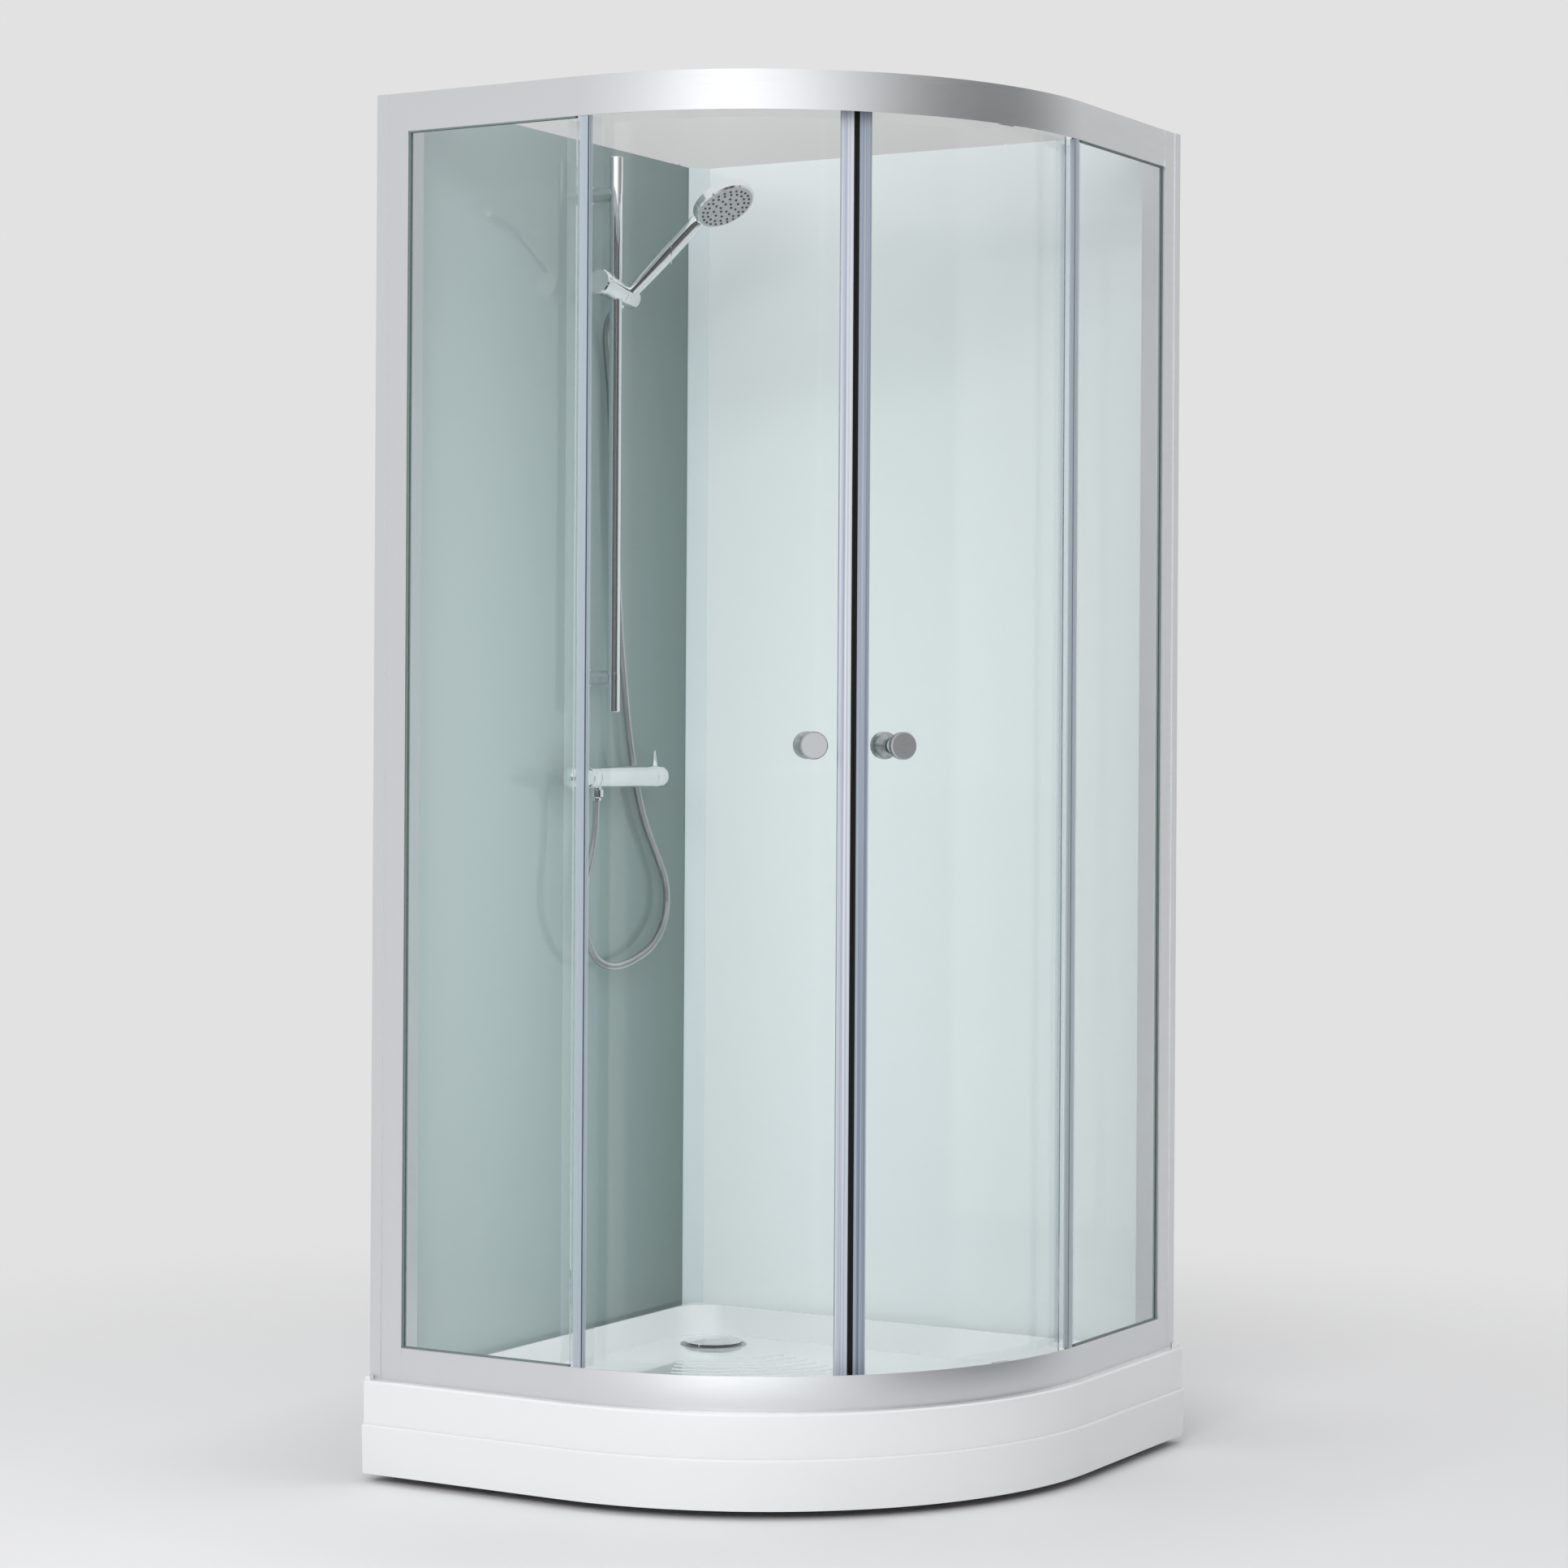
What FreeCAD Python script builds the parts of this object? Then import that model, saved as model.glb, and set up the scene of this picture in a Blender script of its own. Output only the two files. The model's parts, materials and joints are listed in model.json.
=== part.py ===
import FreeCAD, Part
import math
import os

os.makedirs("parts", exist_ok=True)
V = FreeCAD.Vector
UP = V(0, 0, 1)

# Quadrant shower enclosure. Origin on the floor under the middle of its square footprint.
# Left wall at -X, right wall at +Y, curved front towards +X -Y. Millimetres.
# "Left" pieces belong to the left wall; "right" pieces are their mirror in the plane x = -y.

# ---- enclosure -------------------------------------------------------------------------
frameSide = 900.0          # wall face to outer frame face, both ways
cornerRadius = 550.0       # outer face of the curved front
trayHeight = 150.0         # floor to the rim that carries the frame
frameHeight = 1912.0       # rim to the top of the frame
seat = 0.1                 # play between pieces that seat on each other
ease = 0.3                 # play between curved pieces that move past each other

# ---- tray --------------------------------------------------------------------------------
skirtGap = 12.0            # floor to the skirt's lower edge
skirtOutset = 21.0         # lower band, proud of the frame face
skirtFoot = 18.0           # the lower band at its bottom edge
bandOutset = 16.0          # upper band, proud of the frame face
bandHeight = 86.0          # floor to the moulded step
trayWall = 5.0
trayRound = 4.0
rimWidth = 62.0            # frame face to the basin's lip
rimDraft = 10.0
wallRim = 34.0             # wall to the basin's lip
basinFloor = 104.0
basinCorner = 60.0
ledgeHeight = 130.0        # floor to the ledge that carries the rear panels
ledgeWidth = 30.0
upstandWidth = 8.0
upstandHeight = 6.0
gripRibs = 7
gripRibWidth = 4.0
gripRibHeight = 1.2
gripRibPitch = 30.0
gripRibFirst = 150.0
gripRibSpan = 34.0

# ---- waste --------------------------------------------------------------------------------
drainInset = 135.0         # walls to the drain's centre
drainRadius = 45.0         # hole in the tray
flangeRadius = 55.0
flangeThick = 1.6
coverRadius = 47.0
coverHeight = 9.0
potRadius = 40.0
potBottom = 22.0
potWall = 3.0
outletRadius = 20.0
outletHeight = 46.0
outletReach = 95.0
outletStraight = 40.0      # plain end that the waste pipe pushes onto
outletShoulder = 3.0
pipeGap = 45.0             # half the opening that the skirt leaves for the waste pipe

# ---- feet ---------------------------------------------------------------------------------
tubeSize = 20.0
padRadius = 20.0
padHeight = 9.0
boltRadius = 5.0
footReach = 250.0          # middle to the outer feet, along both axes

# ---- frame profiles ---------------------------------------------------------------------
profileWall = 2.5
railDepth = 42.0
topRailFace = 57.0
bottomRailFace = 50.0
grooveNear = 3.0           # frame face to the glazing groove
grooveFar = 12.0
topLedge = 31.0            # top face of the rail to the running ledge
bottomLedge = 29.0
ledgeRest = 9.0            # inner leg past the ledge
postWidth = 56.0
channelFace = 19.0
channelWall = 1.4
channelHoles = 5
channelHolePitch = 425.0
channelHoleRadius = 2.5
channelHoleInset = 20.0
screwInset = 18.8
screwDepth = 5.6
screwPortDepth = 9.6
screwPortEnd = 22.6
railScrewRadius = 1.9
sideScrewRadius = 1.75
sideScrewPitch = 750.0
sideScrews = 3

# ---- running gear -----------------------------------------------------------------------
trackInset = 28.0          # outer face of the curved front to the wheels' track
trackWidth = 3.0
trackHeight = 2.0
trackPast = 12.5           # degrees that the tracks run on past each tangent
stopGap = 1.2
stopThick = 6.0
stopHeight = 15.0
wheelRadius = 11.2
wheelGroove = 1.5
wheelWidth = 7.0
axleRadius = 3.0
axlePlay = 0.05
doorOpens = 27.0           # degrees
leadWheel = 5.5            # degrees from the middle of the front to the first wheel
tailWheel = 29.5
bracketWidth = 30.0
bracketThick = 3.2
bracketBolt = 3.5
bracketEdge = 6.5          # a bolt's or an axle's centre to the end of its plate
bracketBoltInset = 7.5     # upper edge of the door glass to the bracket's bolt
boltHead = 5.0
boltHeadThick = 2.6
axleShoulder = 2.0
axleHead = 1.6
shoeReach = 5.0            # middle of the track to the sides of a lower guide
shoeDepth = 10.0
shoeLip = 3.0
shoeGrip = 6.0             # how far a lower guide laps up the glass

# ---- glass --------------------------------------------------------------------------------
paneThick = 5.0
paneInset = 4.5            # frame face to the fixed pane
paneEdge = 22.5            # how far the fixed pane passes the tangent
doorInset = 16.0           # wheels' track to the inner face of the door glass
doorTail = 47.3            # degrees, middle of the front to the trailing edge
magnetWidth = 4.0
edgeProfileWidth = 18.5
edgeProfileDepth = 10.0
doorBottom = 186.0
doorTopGap = 35.0          # top of the frame to the top of the door glass
gasketProud = 2.0
fixedSealWidth = 17.5
fixedSealReach = 34.0
tailSealReach = 20.0
finThick = 1.2
panelInset = 11.0          # wall to the back of the rear panels
panelHeight = 1936.0
panelLap = 9.0             # how far a rear panel slips into its post and into the corner
cornerLeg = 44.0           # corner profile, along each wall

# ---- knobs ----------------------------------------------------------------------------------
knobAngle = 7.0            # degrees from the middle of the front
knobHeight = 1099.0
knobRadius = 20.0
knobLength = 38.0
knobNeck = 10.0
knobBolt = 3.0

# ---- shower set -----------------------------------------------------------------------------
riserY = 116.5
riserStand = 49.0          # face of the rear panel to the riser's axis
riserRadius = 10.3
sleeveStep = 0.4           # how far the riser's end sleeves stand proud of its tube
sleeveLength = 62.0
sleeveEdge = 0.9
riserRise = 105.0          # mixer's axis to the riser's lower end
riserTopGap = 26.0         # riser's upper end to the top of the rear panel
bracketFromLow = 55.0
bracketFromTop = 60.0
riserBracketRadius = 11.5
sliderFromTop = 215.0      # riser's upper end to the slider
sliderTilt = 11.0          # degrees that the slider leans, down to the right
sliderRadius = 16.5
sliderFront = 40.0
sliderBack = 14.0
clampRadius = 21.0
clampLength = 12.0
drumLength = 41.0
handsetPitch = 45.0        # degrees above the level
headPitch = 33.5
headDrop = 11.0            # handle's axis to the spray face
handleLength = 172.0
handleRadius = 13.0
handleFoot = 30.0
headRadius = 51.0
headDepth = 24.0
nozzleRings = ((10.0, 6), (21.0, 10), (32.0, 18), (40.0, 24))   # radius and count
mixerHeight = 1041.0
mixerRadius = 18.0
mixerFront = 36.5
mixerBack = 229.5
mixerRing = 58.5
handleSpan = 48.0
flowSpan = 39.5
unionPitch = 150.0
unionFirst = 65.0
unionRadius = 10.5
unionBore = 6.5
outletY = 68.0
hoseRadius = 6.5
leverLength = 26.0
nutLength = 18.0
nutRadius = 11.5

# ---- worked out -------------------------------------------------------------------------------
half = (frameSide + skirtOutset) / 2.0
trackRadius = cornerRadius - trackInset
doorRadius = trackRadius - doorInset
face = half - skirtOutset
cx, cy = face - cornerRadius, cornerRadius - face
frameTop = trayHeight + frameHeight
postX = -half + postWidth
panelFront = -half + panelInset + paneThick
riserX = panelFront + riserStand
riserBottom = mixerHeight + riserRise
riserTop = ledgeHeight + panelHeight - riserTopGap
sliderHeight = riserTop - sliderFromTop
drain = V(-half + drainInset, half - drainInset, 0)
doorTop = frameTop - doorTopGap
doorFace = doorRadius + paneThick
topRun = frameTop - topLedge
bottomRun = trayHeight + bottomLedge


def save(name, solids):
    """Write one sub-part; several solids make a group."""
    solids = solids if isinstance(solids, list) else [solids]
    for solid in solids:
        if not solid.isValid() or solid.ShapeType == "Compound" and len(solid.Solids) != 1:
            print("CHECK", name, solid.ShapeType, solid.isValid(), len(solid.Solids))
    shape = solids[0] if len(solids) == 1 else Part.makeCompound(solids)
    shape.exportStep("parts/" + name + ".step")
    print(name, len(shape.Solids), "solid(s)", round(shape.Volume / 1000.0, 1), "cm3")


def one(shape):
    """The single solid of a boolean's result."""
    return shape.Solids[0] if len(shape.Solids) == 1 else shape


def mirrored(shape):
    return shape.mirror(V(0, 0, 0), V(1, 1, 0))


def box(x0, x1, y0, y1, z0, z1):
    return Part.makeBox(x1 - x0, y1 - y0, z1 - z0, V(x0, y0, z0))


def rod(start, along, radius, length):
    return Part.makeCylinder(radius, length, start, along)


def fuse(first, *others):
    return one(first.multiFuse(list(others)).removeSplitter())


def turned(profile, start, along):
    """Revolve (distance, radius) points round an axis that starts at start."""
    points = [V(0, 0, profile[0][0])] + [V(r, 0, d) for d, r in profile] + [V(0, 0, profile[-1][0])]
    outline = [p for i, p in enumerate(points) if i == 0 or p.distanceToPoint(points[i - 1]) > 1e-6]
    solid = Part.Face(Part.makePolygon(outline + [outline[0]])).revolve(V(0, 0, 0), UP, 360)
    return placed(solid, start, along)


def placed(shape, start, along):
    """Move a shape made along +Z so that it starts at a point and runs along a direction."""
    moved = shape.copy()
    moved.Placement = FreeCAD.Placement(start, FreeCAD.Rotation(UP, along)).multiply(moved.Placement)
    return moved


def sector(r0, r1, a0, a1, z0, z1):
    """A piece of a ring about the centre of the curved front, between two angles in degrees."""
    ring = Part.makeCylinder(r1, z1 - z0, V(cx, cy, z0), UP, a1 - a0)
    ring = ring.cut(Part.makeCylinder(r0, z1 - z0, V(cx, cy, z0), UP, a1 - a0))
    return one(ring.rotate(V(cx, cy, 0), UP, a0))


def radial(angle):
    return V(math.cos(math.radians(angle)), math.sin(math.radians(angle)), 0)


def onArc(radius, angle, z):
    return V(cx, cy, z) + radial(angle) * radius


def arcAngle(length):
    """Degrees that a length takes on the door glass."""
    return math.degrees(length / (doorRadius + paneThick / 2.0))


def quadrantWire(outset, wallInset, z, corner=0.0):
    """Outline of the plan, outset from the frame face and inset from the walls."""
    x0, y0 = -half + wallInset, -face - outset
    r = cornerRadius + outset
    points = [V(x0, y0, z), V(cx, y0, z), V(cx + r, cy, z), V(cx + r, half - wallInset, z)]
    middle = V(cx + r * math.cos(math.pi / 4), cy - r * math.sin(math.pi / 4), z)
    if corner == 0.0:
        back = [V(x0, half - wallInset, z)]
        edges = [Part.LineSegment(points[0], points[1]), Part.Arc(points[1], middle, points[2]),
                 Part.LineSegment(points[2], points[3]), Part.LineSegment(points[3], back[0]),
                 Part.LineSegment(back[0], points[0])]
        return Part.Wire([edge.toShape() for edge in edges])
    c = corner
    k = c * (1 - math.sqrt(0.5))
    y1 = half - wallInset
    s = [V(x0 + c, y0, z), points[1], points[2], V(cx + r, y1 - c, z), V(cx + r - c, y1, z),
         V(x0 + c, y1, z), V(x0, y1 - c, z), V(x0, y0 + c, z)]
    edges = [Part.LineSegment(s[0], s[1]), Part.Arc(s[1], middle, s[2]), Part.LineSegment(s[2], s[3]),
             Part.Arc(s[3], V(cx + r - k, y1 - k, z), s[4]), Part.LineSegment(s[4], s[5]),
             Part.Arc(s[5], V(x0 + k, y1 - k, z), s[6]), Part.LineSegment(s[6], s[7]),
             Part.Arc(s[7], V(x0 + k, y0 + k, z), s[0])]
    return Part.Wire([edge.toShape() for edge in edges])


def slab(outset, wallInset, z0, z1):
    return Part.Face(quadrantWire(outset, wallInset, z0)).extrude(V(0, 0, z1 - z0))


def lofted(low, high):
    return Part.makeLoft([low, high], True, True)


def rounded(solid, radius, keep):
    """Fillet the edges that keep() picks."""
    return solid.makeFillet(radius, [edge for edge in solid.Edges if keep(edge)])


# ---- tray ---------------------------------------------------------------------------------

def onFront(edge, z, outset):
    """True for an edge that runs along the front face at a height."""
    if abs(edge.BoundBox.ZMin - z) > 0.01 or abs(edge.BoundBox.ZMax - z) > 0.01:
        return False
    middle = edge.valueAt((edge.FirstParameter + edge.LastParameter) / 2.0)
    if middle.x > cx and middle.y < cy:
        return abs(math.hypot(middle.x - cx, middle.y - cy) - cornerRadius - outset) < 0.5
    return abs(middle.y + face + outset) < 0.5 or abs(middle.x - face - outset) < 0.5


def wallStrips(u0, u1, z0, z1, y0):
    """A strip along the left wall from y0 to the corner, and its mirror along the right wall."""
    strip = box(-half + u0, -half + u1, y0, half - u0, z0, z1)
    return [strip, mirrored(strip)]


def makeTray():
    postBack = -face + railDepth
    skirt = lofted(quadrantWire(skirtFoot, 0, skirtGap), quadrantWire(skirtOutset, 0, bandHeight))
    skirt = rounded(skirt, trayRound, lambda e: onFront(e, bandHeight, skirtOutset))
    band = slab(bandOutset, 0, bandHeight - trayRound * 2, trayHeight)
    band = rounded(band, trayRound, lambda e: onFront(e, trayHeight, bandOutset))
    outer = skirt.fuse(band)
    floorOut = -rimWidth - rimDraft
    inner = lofted(quadrantWire(floorOut, wallRim + rimDraft, basinFloor, basinCorner),
                   quadrantWire(-rimWidth, wallRim, trayHeight, basinCorner))
    pan = lofted(quadrantWire(floorOut + trayWall, wallRim + rimDraft - trayWall,
                              basinFloor - trayWall, basinCorner + trayWall),
                 quadrantWire(-rimWidth + trayWall, wallRim - trayWall, trayHeight, basinCorner + trayWall))
    hollow = lofted(quadrantWire(skirtFoot - trayWall, trayWall, skirtGap),
                    quadrantWire(bandOutset - trayWall, trayWall, bandHeight - trayRound))
    hollow = hollow.fuse(slab(bandOutset - trayWall, trayWall, bandHeight - trayRound,
                              trayHeight - trayWall))
    pocket = postBack - panelLap - 1.0
    underLedge = wallStrips(0, ledgeWidth + trayWall, ledgeHeight - trayWall, trayHeight, pocket - trayWall)
    tray = outer.cut(hollow.cut(pan.multiFuse(underLedge))).cut(inner)
    tray = tray.multiFuse(wallStrips(0, upstandWidth, trayHeight - trayWall, trayHeight + upstandHeight,
                                     postBack + 3.0))
    lip = box(-half, -half + upstandWidth, -face - bandOutset + trayRound, -face - 2.0,
              trayHeight - trayWall, trayHeight + upstandHeight)
    tray = tray.multiFuse([lip, mirrored(lip)])
    tray = tray.cut(wallStrips(upstandWidth, ledgeWidth, ledgeHeight, trayHeight + 20.0, postBack))
    tray = tray.cut(wallStrips(panelInset - 1.0, panelInset + paneThick + 1.0, ledgeHeight, trayHeight + 20.0, pocket))
    tray = tray.cut(box(-half - 1.0, -half + trayWall + 1.0, drain.y - pipeGap, drain.y + pipeGap,
                        skirtGap - 1.0, outletHeight + pipeGap))
    hole = Part.makeCylinder(drainRadius, 40.0, drain + UP * (basinFloor - 30.0))
    tray = tray.cut(hole)
    return one(tray.multiFuse(gripPattern()).removeSplitter())


def gripPattern():
    """Raised anti-slip ribs, arcs about the drain across the standing area."""
    ribs = []
    for i in range(gripRibs):
        r = gripRibFirst + i * gripRibPitch
        span = gripRibSpan - i * 1.5
        rib = Part.makeCylinder(r + gripRibWidth, gripRibHeight + 1.0, V(0, 0, 0), UP, span * 2)
        rib = rib.cut(Part.makeCylinder(r, gripRibHeight + 1.0, V(0, 0, 0), UP, span * 2))
        rib.Placement = FreeCAD.Placement(drain + UP * (basinFloor - 1.0),
                                          FreeCAD.Rotation(UP, -45.0 - span))
        ribs.append(one(rib))
    return ribs


def makeFeet():
    """Steel foot frame with its threaded feet, under the basin."""
    top = basinFloor - trayWall - seat
    low = top - tubeSize
    h = tubeSize / 2.0
    reach = footReach + 40.0
    bars = [box(-reach, reach, y - h, y + h, low, top) for y in (-footReach + 60.0, footReach - 60.0)]
    bars += [box(x - h, x + h, -footReach + 60.0, footReach - 60.0, low, top) for x in (-60.0, footReach - 20.0)]
    feet = [V(-reach + 20.0, -footReach + 60.0, 0), V(reach - 20.0, -footReach + 60.0, 0),
            V(-60.0, footReach - 60.0, 0), V(reach - 20.0, footReach - 60.0, 0), V(-60.0, 0, 0)]
    frame = fuse(bars[0], *bars[1:])
    holes = [Part.makeCylinder(boltRadius + seat, tubeSize, foot + UP * low) for foot in feet]
    frame = one(frame.cut(holes))
    save("foot_frame", frame)
    bolts, pads = [], []
    for foot in feet:
        shank = Part.makeCylinder(boltRadius, top - 1.0 - padHeight / 2.0, foot + UP * (padHeight / 2.0))
        nut = Part.Face(Part.makePolygon([foot + UP * (low - 8.0) + radial(60 * i) * 9.5 for i in range(7)]))
        nut = nut.extrude(UP * 7.9).cut(Part.makeCylinder(boltRadius + 0.01, 20.0, foot + UP * (low - 12.0)))
        bolts += [shank, one(nut)]
        pad = turned([(0, padRadius), (3.0, padRadius), (padHeight, boltRadius + 5.0)], foot, UP)
        pads.append(one(pad.cut(Part.makeCylinder(boltRadius + 0.01, padHeight, foot + UP * (padHeight / 2.0)))))
    save("foot_bolts", bolts)
    save("foot_pads", pads)


def makeWaste():
    """Trap pot under the floor, its flange, inner cup, seal and lift-off cover."""
    under = basinFloor - trayWall
    neck = drainRadius - 2.0
    flange = turned([(-13.0, neck), (0, neck), (0, flangeRadius), (0.6, flangeRadius),
                     (flangeThick, flangeRadius - 1.5)], drain + UP * basinFloor, UP)
    flange = one(flange.cut(Part.makeCylinder(neck - potWall, 40.0, drain + UP * (basinFloor - 20.0))))
    save("waste_flange", flange)
    pot = turned([(potBottom, potRadius - 6.0), (potBottom + 6.0, potRadius), (under - 12.0, potRadius),
                  (under - 12.0, flangeRadius - 2.0), (under - 2.5, flangeRadius - 2.0)], drain, UP)
    start = drain + V(8.0 - potRadius, 0, outletHeight)
    long = outletReach - potRadius + 8.0
    pot = pot.fuse(turned([(0, outletRadius + outletShoulder), (long - outletStraight, outletRadius + outletShoulder),
                           (long - outletStraight, outletRadius), (long, outletRadius)], start, V(-1, 0, 0)))
    inside = turned([(potBottom + potWall, potRadius - 6.0 - potWall), (potBottom + 9.0, potRadius - potWall),
                     (under - 10.0, potRadius - potWall), (under - 10.0, neck + seat), (under, neck + seat)],
                    drain, UP)
    pot = pot.cut(inside).cut(rod(start, V(-1, 0, 0), outletRadius - potWall, outletReach))
    save("waste_body", one(pot.removeSplitter()))
    washer = Part.makeCylinder(flangeRadius - 2.0, 2.3, drain + UP * (under - 2.4))
    save("waste_gasket", one(washer.cut(Part.makeCylinder(drainRadius, 10.0, drain + UP * (under - 6.0)))))
    cup = turned([(potBottom + 12.0, 24.0), (under - 9.9, 27.0), (under - 9.9, neck - 0.5),
                  (under - 8.2, neck - 0.5)], drain, UP)
    cup = cup.cut(turned([(potBottom + 14.0, 22.0), (under - 5.0, 25.0)], drain, UP))
    slots = [rod(drain + UP * (potBottom + 30.0), radial(a), 4.0, 40.0) for a in range(0, 360, 60)]
    save("trap_cup", one(cup.cut(slots)))
    top = basinFloor + flangeThick
    cover = turned([(4.0, coverRadius - 3.0), (4.0, coverRadius), (5.5, coverRadius),
                    (coverHeight - 1.5, coverRadius * 0.62), (coverHeight, coverRadius * 0.3)],
                   drain + UP * top, UP)
    cover = cover.cut(turned([(3.0, coverRadius - 4.5), (4.8, coverRadius - 4.5),
                              (coverHeight - 3.5, coverRadius * 0.55)], drain + UP * top, UP))
    legs = [Part.makeCylinder(1.3, 5.0, drain + radial(a) * (coverRadius - 1.6) + UP * top)
            for a in (30, 150, 270)]
    stem = Part.makeCylinder(5.0, 30.0, drain + UP * (top + coverHeight - 33.0))
    save("drain_cover", one(cover.multiFuse(legs + [stem]).removeSplitter()))


# ---- frame ------------------------------------------------------------------------------------

def railSection(web, side, faceHeight, ledge):
    """Closed outline of a rail: web is its outer end's height, side +1 hangs down, -1 stands up."""
    t = profileWall
    leg = ledge + t + ledgeRest
    points = [(0.8, 0), (0, 15.0), (0.3, faceHeight - 11.0), (1.6, faceHeight), (grooveNear, faceHeight),
              (grooveNear, t), (grooveFar, t), (grooveFar, leg), (grooveFar + t, leg),
              (grooveFar + t, ledge + t), (railDepth, ledge + t), (railDepth, ledge),
              (grooveFar + t, ledge), (grooveFar + t, screwPortDepth), (screwPortEnd, screwPortDepth),
              (screwPortEnd, t), (railDepth, t), (railDepth, 0)]
    return Part.makePolygon([V(cx, -face + inset, web - side * h) for inset, h in points + points[:1]])


def sweptFrame(wire):
    """Carry a section along the left straight, the curve and the right straight."""
    section = Part.Face(wire)
    curve = section.revolve(V(cx, cy, 0), UP, 90)
    straight = section.extrude(V(postX - cx, 0, 0))
    return curve, straight, mirrored(straight)


def makeRail(web, side, faceHeight, ledge):
    rail = fuse(*sweptFrame(railSection(web, side, faceHeight, ledge)))
    port = rod(V(postX - 1.0, -face + screwInset, web - side * screwDepth), V(1, 0, 0),
               railScrewRadius + seat, 32.0)
    return one(rail.cut([port, mirrored(port)]))


def postOutline(x0, x1, near, far):
    """A block of the left post, between insets from the frame face."""
    return box(x0, x1, -face + near, -face + far, trayHeight, frameTop)


def railScrewPlaces():
    return [V(0, -face + screwInset, z) for z in (trayHeight + screwDepth, frameTop - screwDepth)]


def makePost():
    inner = -half + 2.0
    post = postOutline(inner, postX, 0, railDepth)
    hollow = postOutline(inner, postX - 18.0, 2.0, railDepth - 12.0)
    groove = postOutline(postX - 14.0, postX, grooveNear, grooveFar)
    tube = postOutline(postX - 16.0, postX - 2.0, grooveFar + 2.0, railDepth - 2.0)
    rear = postOutline(-half + panelInset - 1.2, panelFront + 1.2, railDepth - 11.0, railDepth)
    post = post.cut([hollow, groove, tube, rear])
    for place in railScrewPlaces():
        post = post.cut(rod(V(postX - 30.0, place.y, place.z), V(1, 0, 0), railScrewRadius + seat, 40.0))
    for place in sideScrewPlaces():
        post = post.cut(rod(place, V(0, -1, 0), sideScrewRadius + 0.02, 14.0))
    return one(post)


def sideScrewPlaces():
    middle = (trayHeight + frameTop) / 2.0
    heights = [middle + (i - (sideScrews - 1) / 2.0) * sideScrewPitch for i in range(sideScrews)]
    return [V(-half + 5.5, -face + railDepth + channelWall, z) for z in heights]


def makeChannel():
    t = channelWall
    back = box(-half, -half + 1.5, -face - t, -face + railDepth + t, trayHeight, frameTop)
    front = box(-half, -half + channelFace, -face - t, -face - 0.02, trayHeight, frameTop)
    rear = box(-half, -half + 9.0, -face + railDepth + 0.02, -face + railDepth + t, trayHeight, frameTop)
    channel = back.multiFuse([front, rear])
    middle = (trayHeight + frameTop) / 2.0
    for i in range(channelHoles):
        z = middle + (i - (channelHoles - 1) / 2.0) * channelHolePitch
        hole = rod(V(-half - 1.0, -face + channelHoleInset, z), V(1, 0, 0), channelHoleRadius, 4.0)
        channel = channel.cut(hole)
    for place in sideScrewPlaces():
        channel = channel.cut(rod(place + V(0, 1, 0), V(0, -1, 0), sideScrewRadius + 0.1, 6.0))
    return one(channel.removeSplitter())


def makeScrews():
    """Long screws from the posts into the rails, and short ones from the channels into the posts."""
    screws = []
    for place in railScrewPlaces():
        start = V(postX - 20.6, place.y, place.z)
        screws.append(turned([(0, 3.6), (2.4, 3.6), (2.4, railScrewRadius), (46.0, railScrewRadius)],
                             start, V(1, 0, 0)))
    for place in sideScrewPlaces():
        screws.append(turned([(-2.0, 2.0), (-1.2, 3.4), (-0.05, 3.4), (-0.05, sideScrewRadius),
                              (12.0, sideScrewRadius)], place, V(0, -1, 0)))
    return screws + [mirrored(screw) for screw in screws]


def makeTrack(z0):
    a0, a1 = -90.0 - trackPast, trackPast
    return sector(trackRadius - trackWidth / 2.0, trackRadius + trackWidth / 2.0, a0, a1, z0, z0 + trackHeight)


def makeStop():
    """Buffer that the tail wheel meets when a door is fully open."""
    open_ = onArc(trackRadius, -45.0 - tailWheel - doorOpens, topRun)
    near = open_.x - wheelRadius - stopGap
    return box(near - stopThick, near, -face + grooveFar + profileWall, -face + railDepth - seat,
               topRun, topRun + stopHeight)


# ---- fixed glazing ------------------------------------------------------------------------------

paneX0 = postX - 12.0
paneX1 = cx + paneEdge
paneLow = trayHeight + profileWall + 2.5
paneHigh = frameTop - profileWall - 2.5


def paneBox(grow):
    return box(paneX0 - grow, paneX1 + grow, -face + paneInset - grow, -face + paneInset + paneThick + grow,
               paneLow - grow, paneHigh + grow)


def makeGasket():
    near, far = -face + grooveNear + seat, -face + grooveFar - seat
    low, high = trayHeight + profileWall + seat, frameTop - profileWall - seat
    upright = box(postX - 14.0 + seat, postX + gasketProud, near, far, low, high)
    sill = box(postX, cx, near, far, low, trayHeight + bottomRailFace + gasketProud)
    head = box(postX, cx, near, far, frameTop - topRailFace - gasketProud, high)
    return one(upright.multiFuse([sill, head]).cut(paneBox(0.02)))


def makeFixedSeal():
    """Clip on the fixed pane's free edge, with a fin that reaches in towards the door."""
    z0, z1 = trayHeight + bottomRailFace, frameTop - topRailFace
    x1 = paneX1 + 2.5
    x0 = x1 - fixedSealWidth
    near = -face + paneInset
    clip = box(x0, x1, near - 1.0, near + paneThick + 1.4, z0, z1)
    fin = box(x1 - finThick, x1, near + paneThick, -face + fixedSealReach, z0, z1)
    return one(clip.fuse(fin).removeSplitter().cut(paneBox(0.02)))


def makeRearPanel(holes):
    """Left rear panel; the supplies pass through its holes, and the right one has none."""
    low = ledgeHeight
    panel = box(-half + panelInset, panelFront, -face + railDepth - panelLap, half - panelInset - panelLap,
                low, low + panelHeight)
    for y in holes:
        panel = panel.cut(rod(V(-half, y, mixerHeight), V(1, 0, 0), unionRadius + 1.0, 2.0 * riserStand))
    return panel


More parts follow.
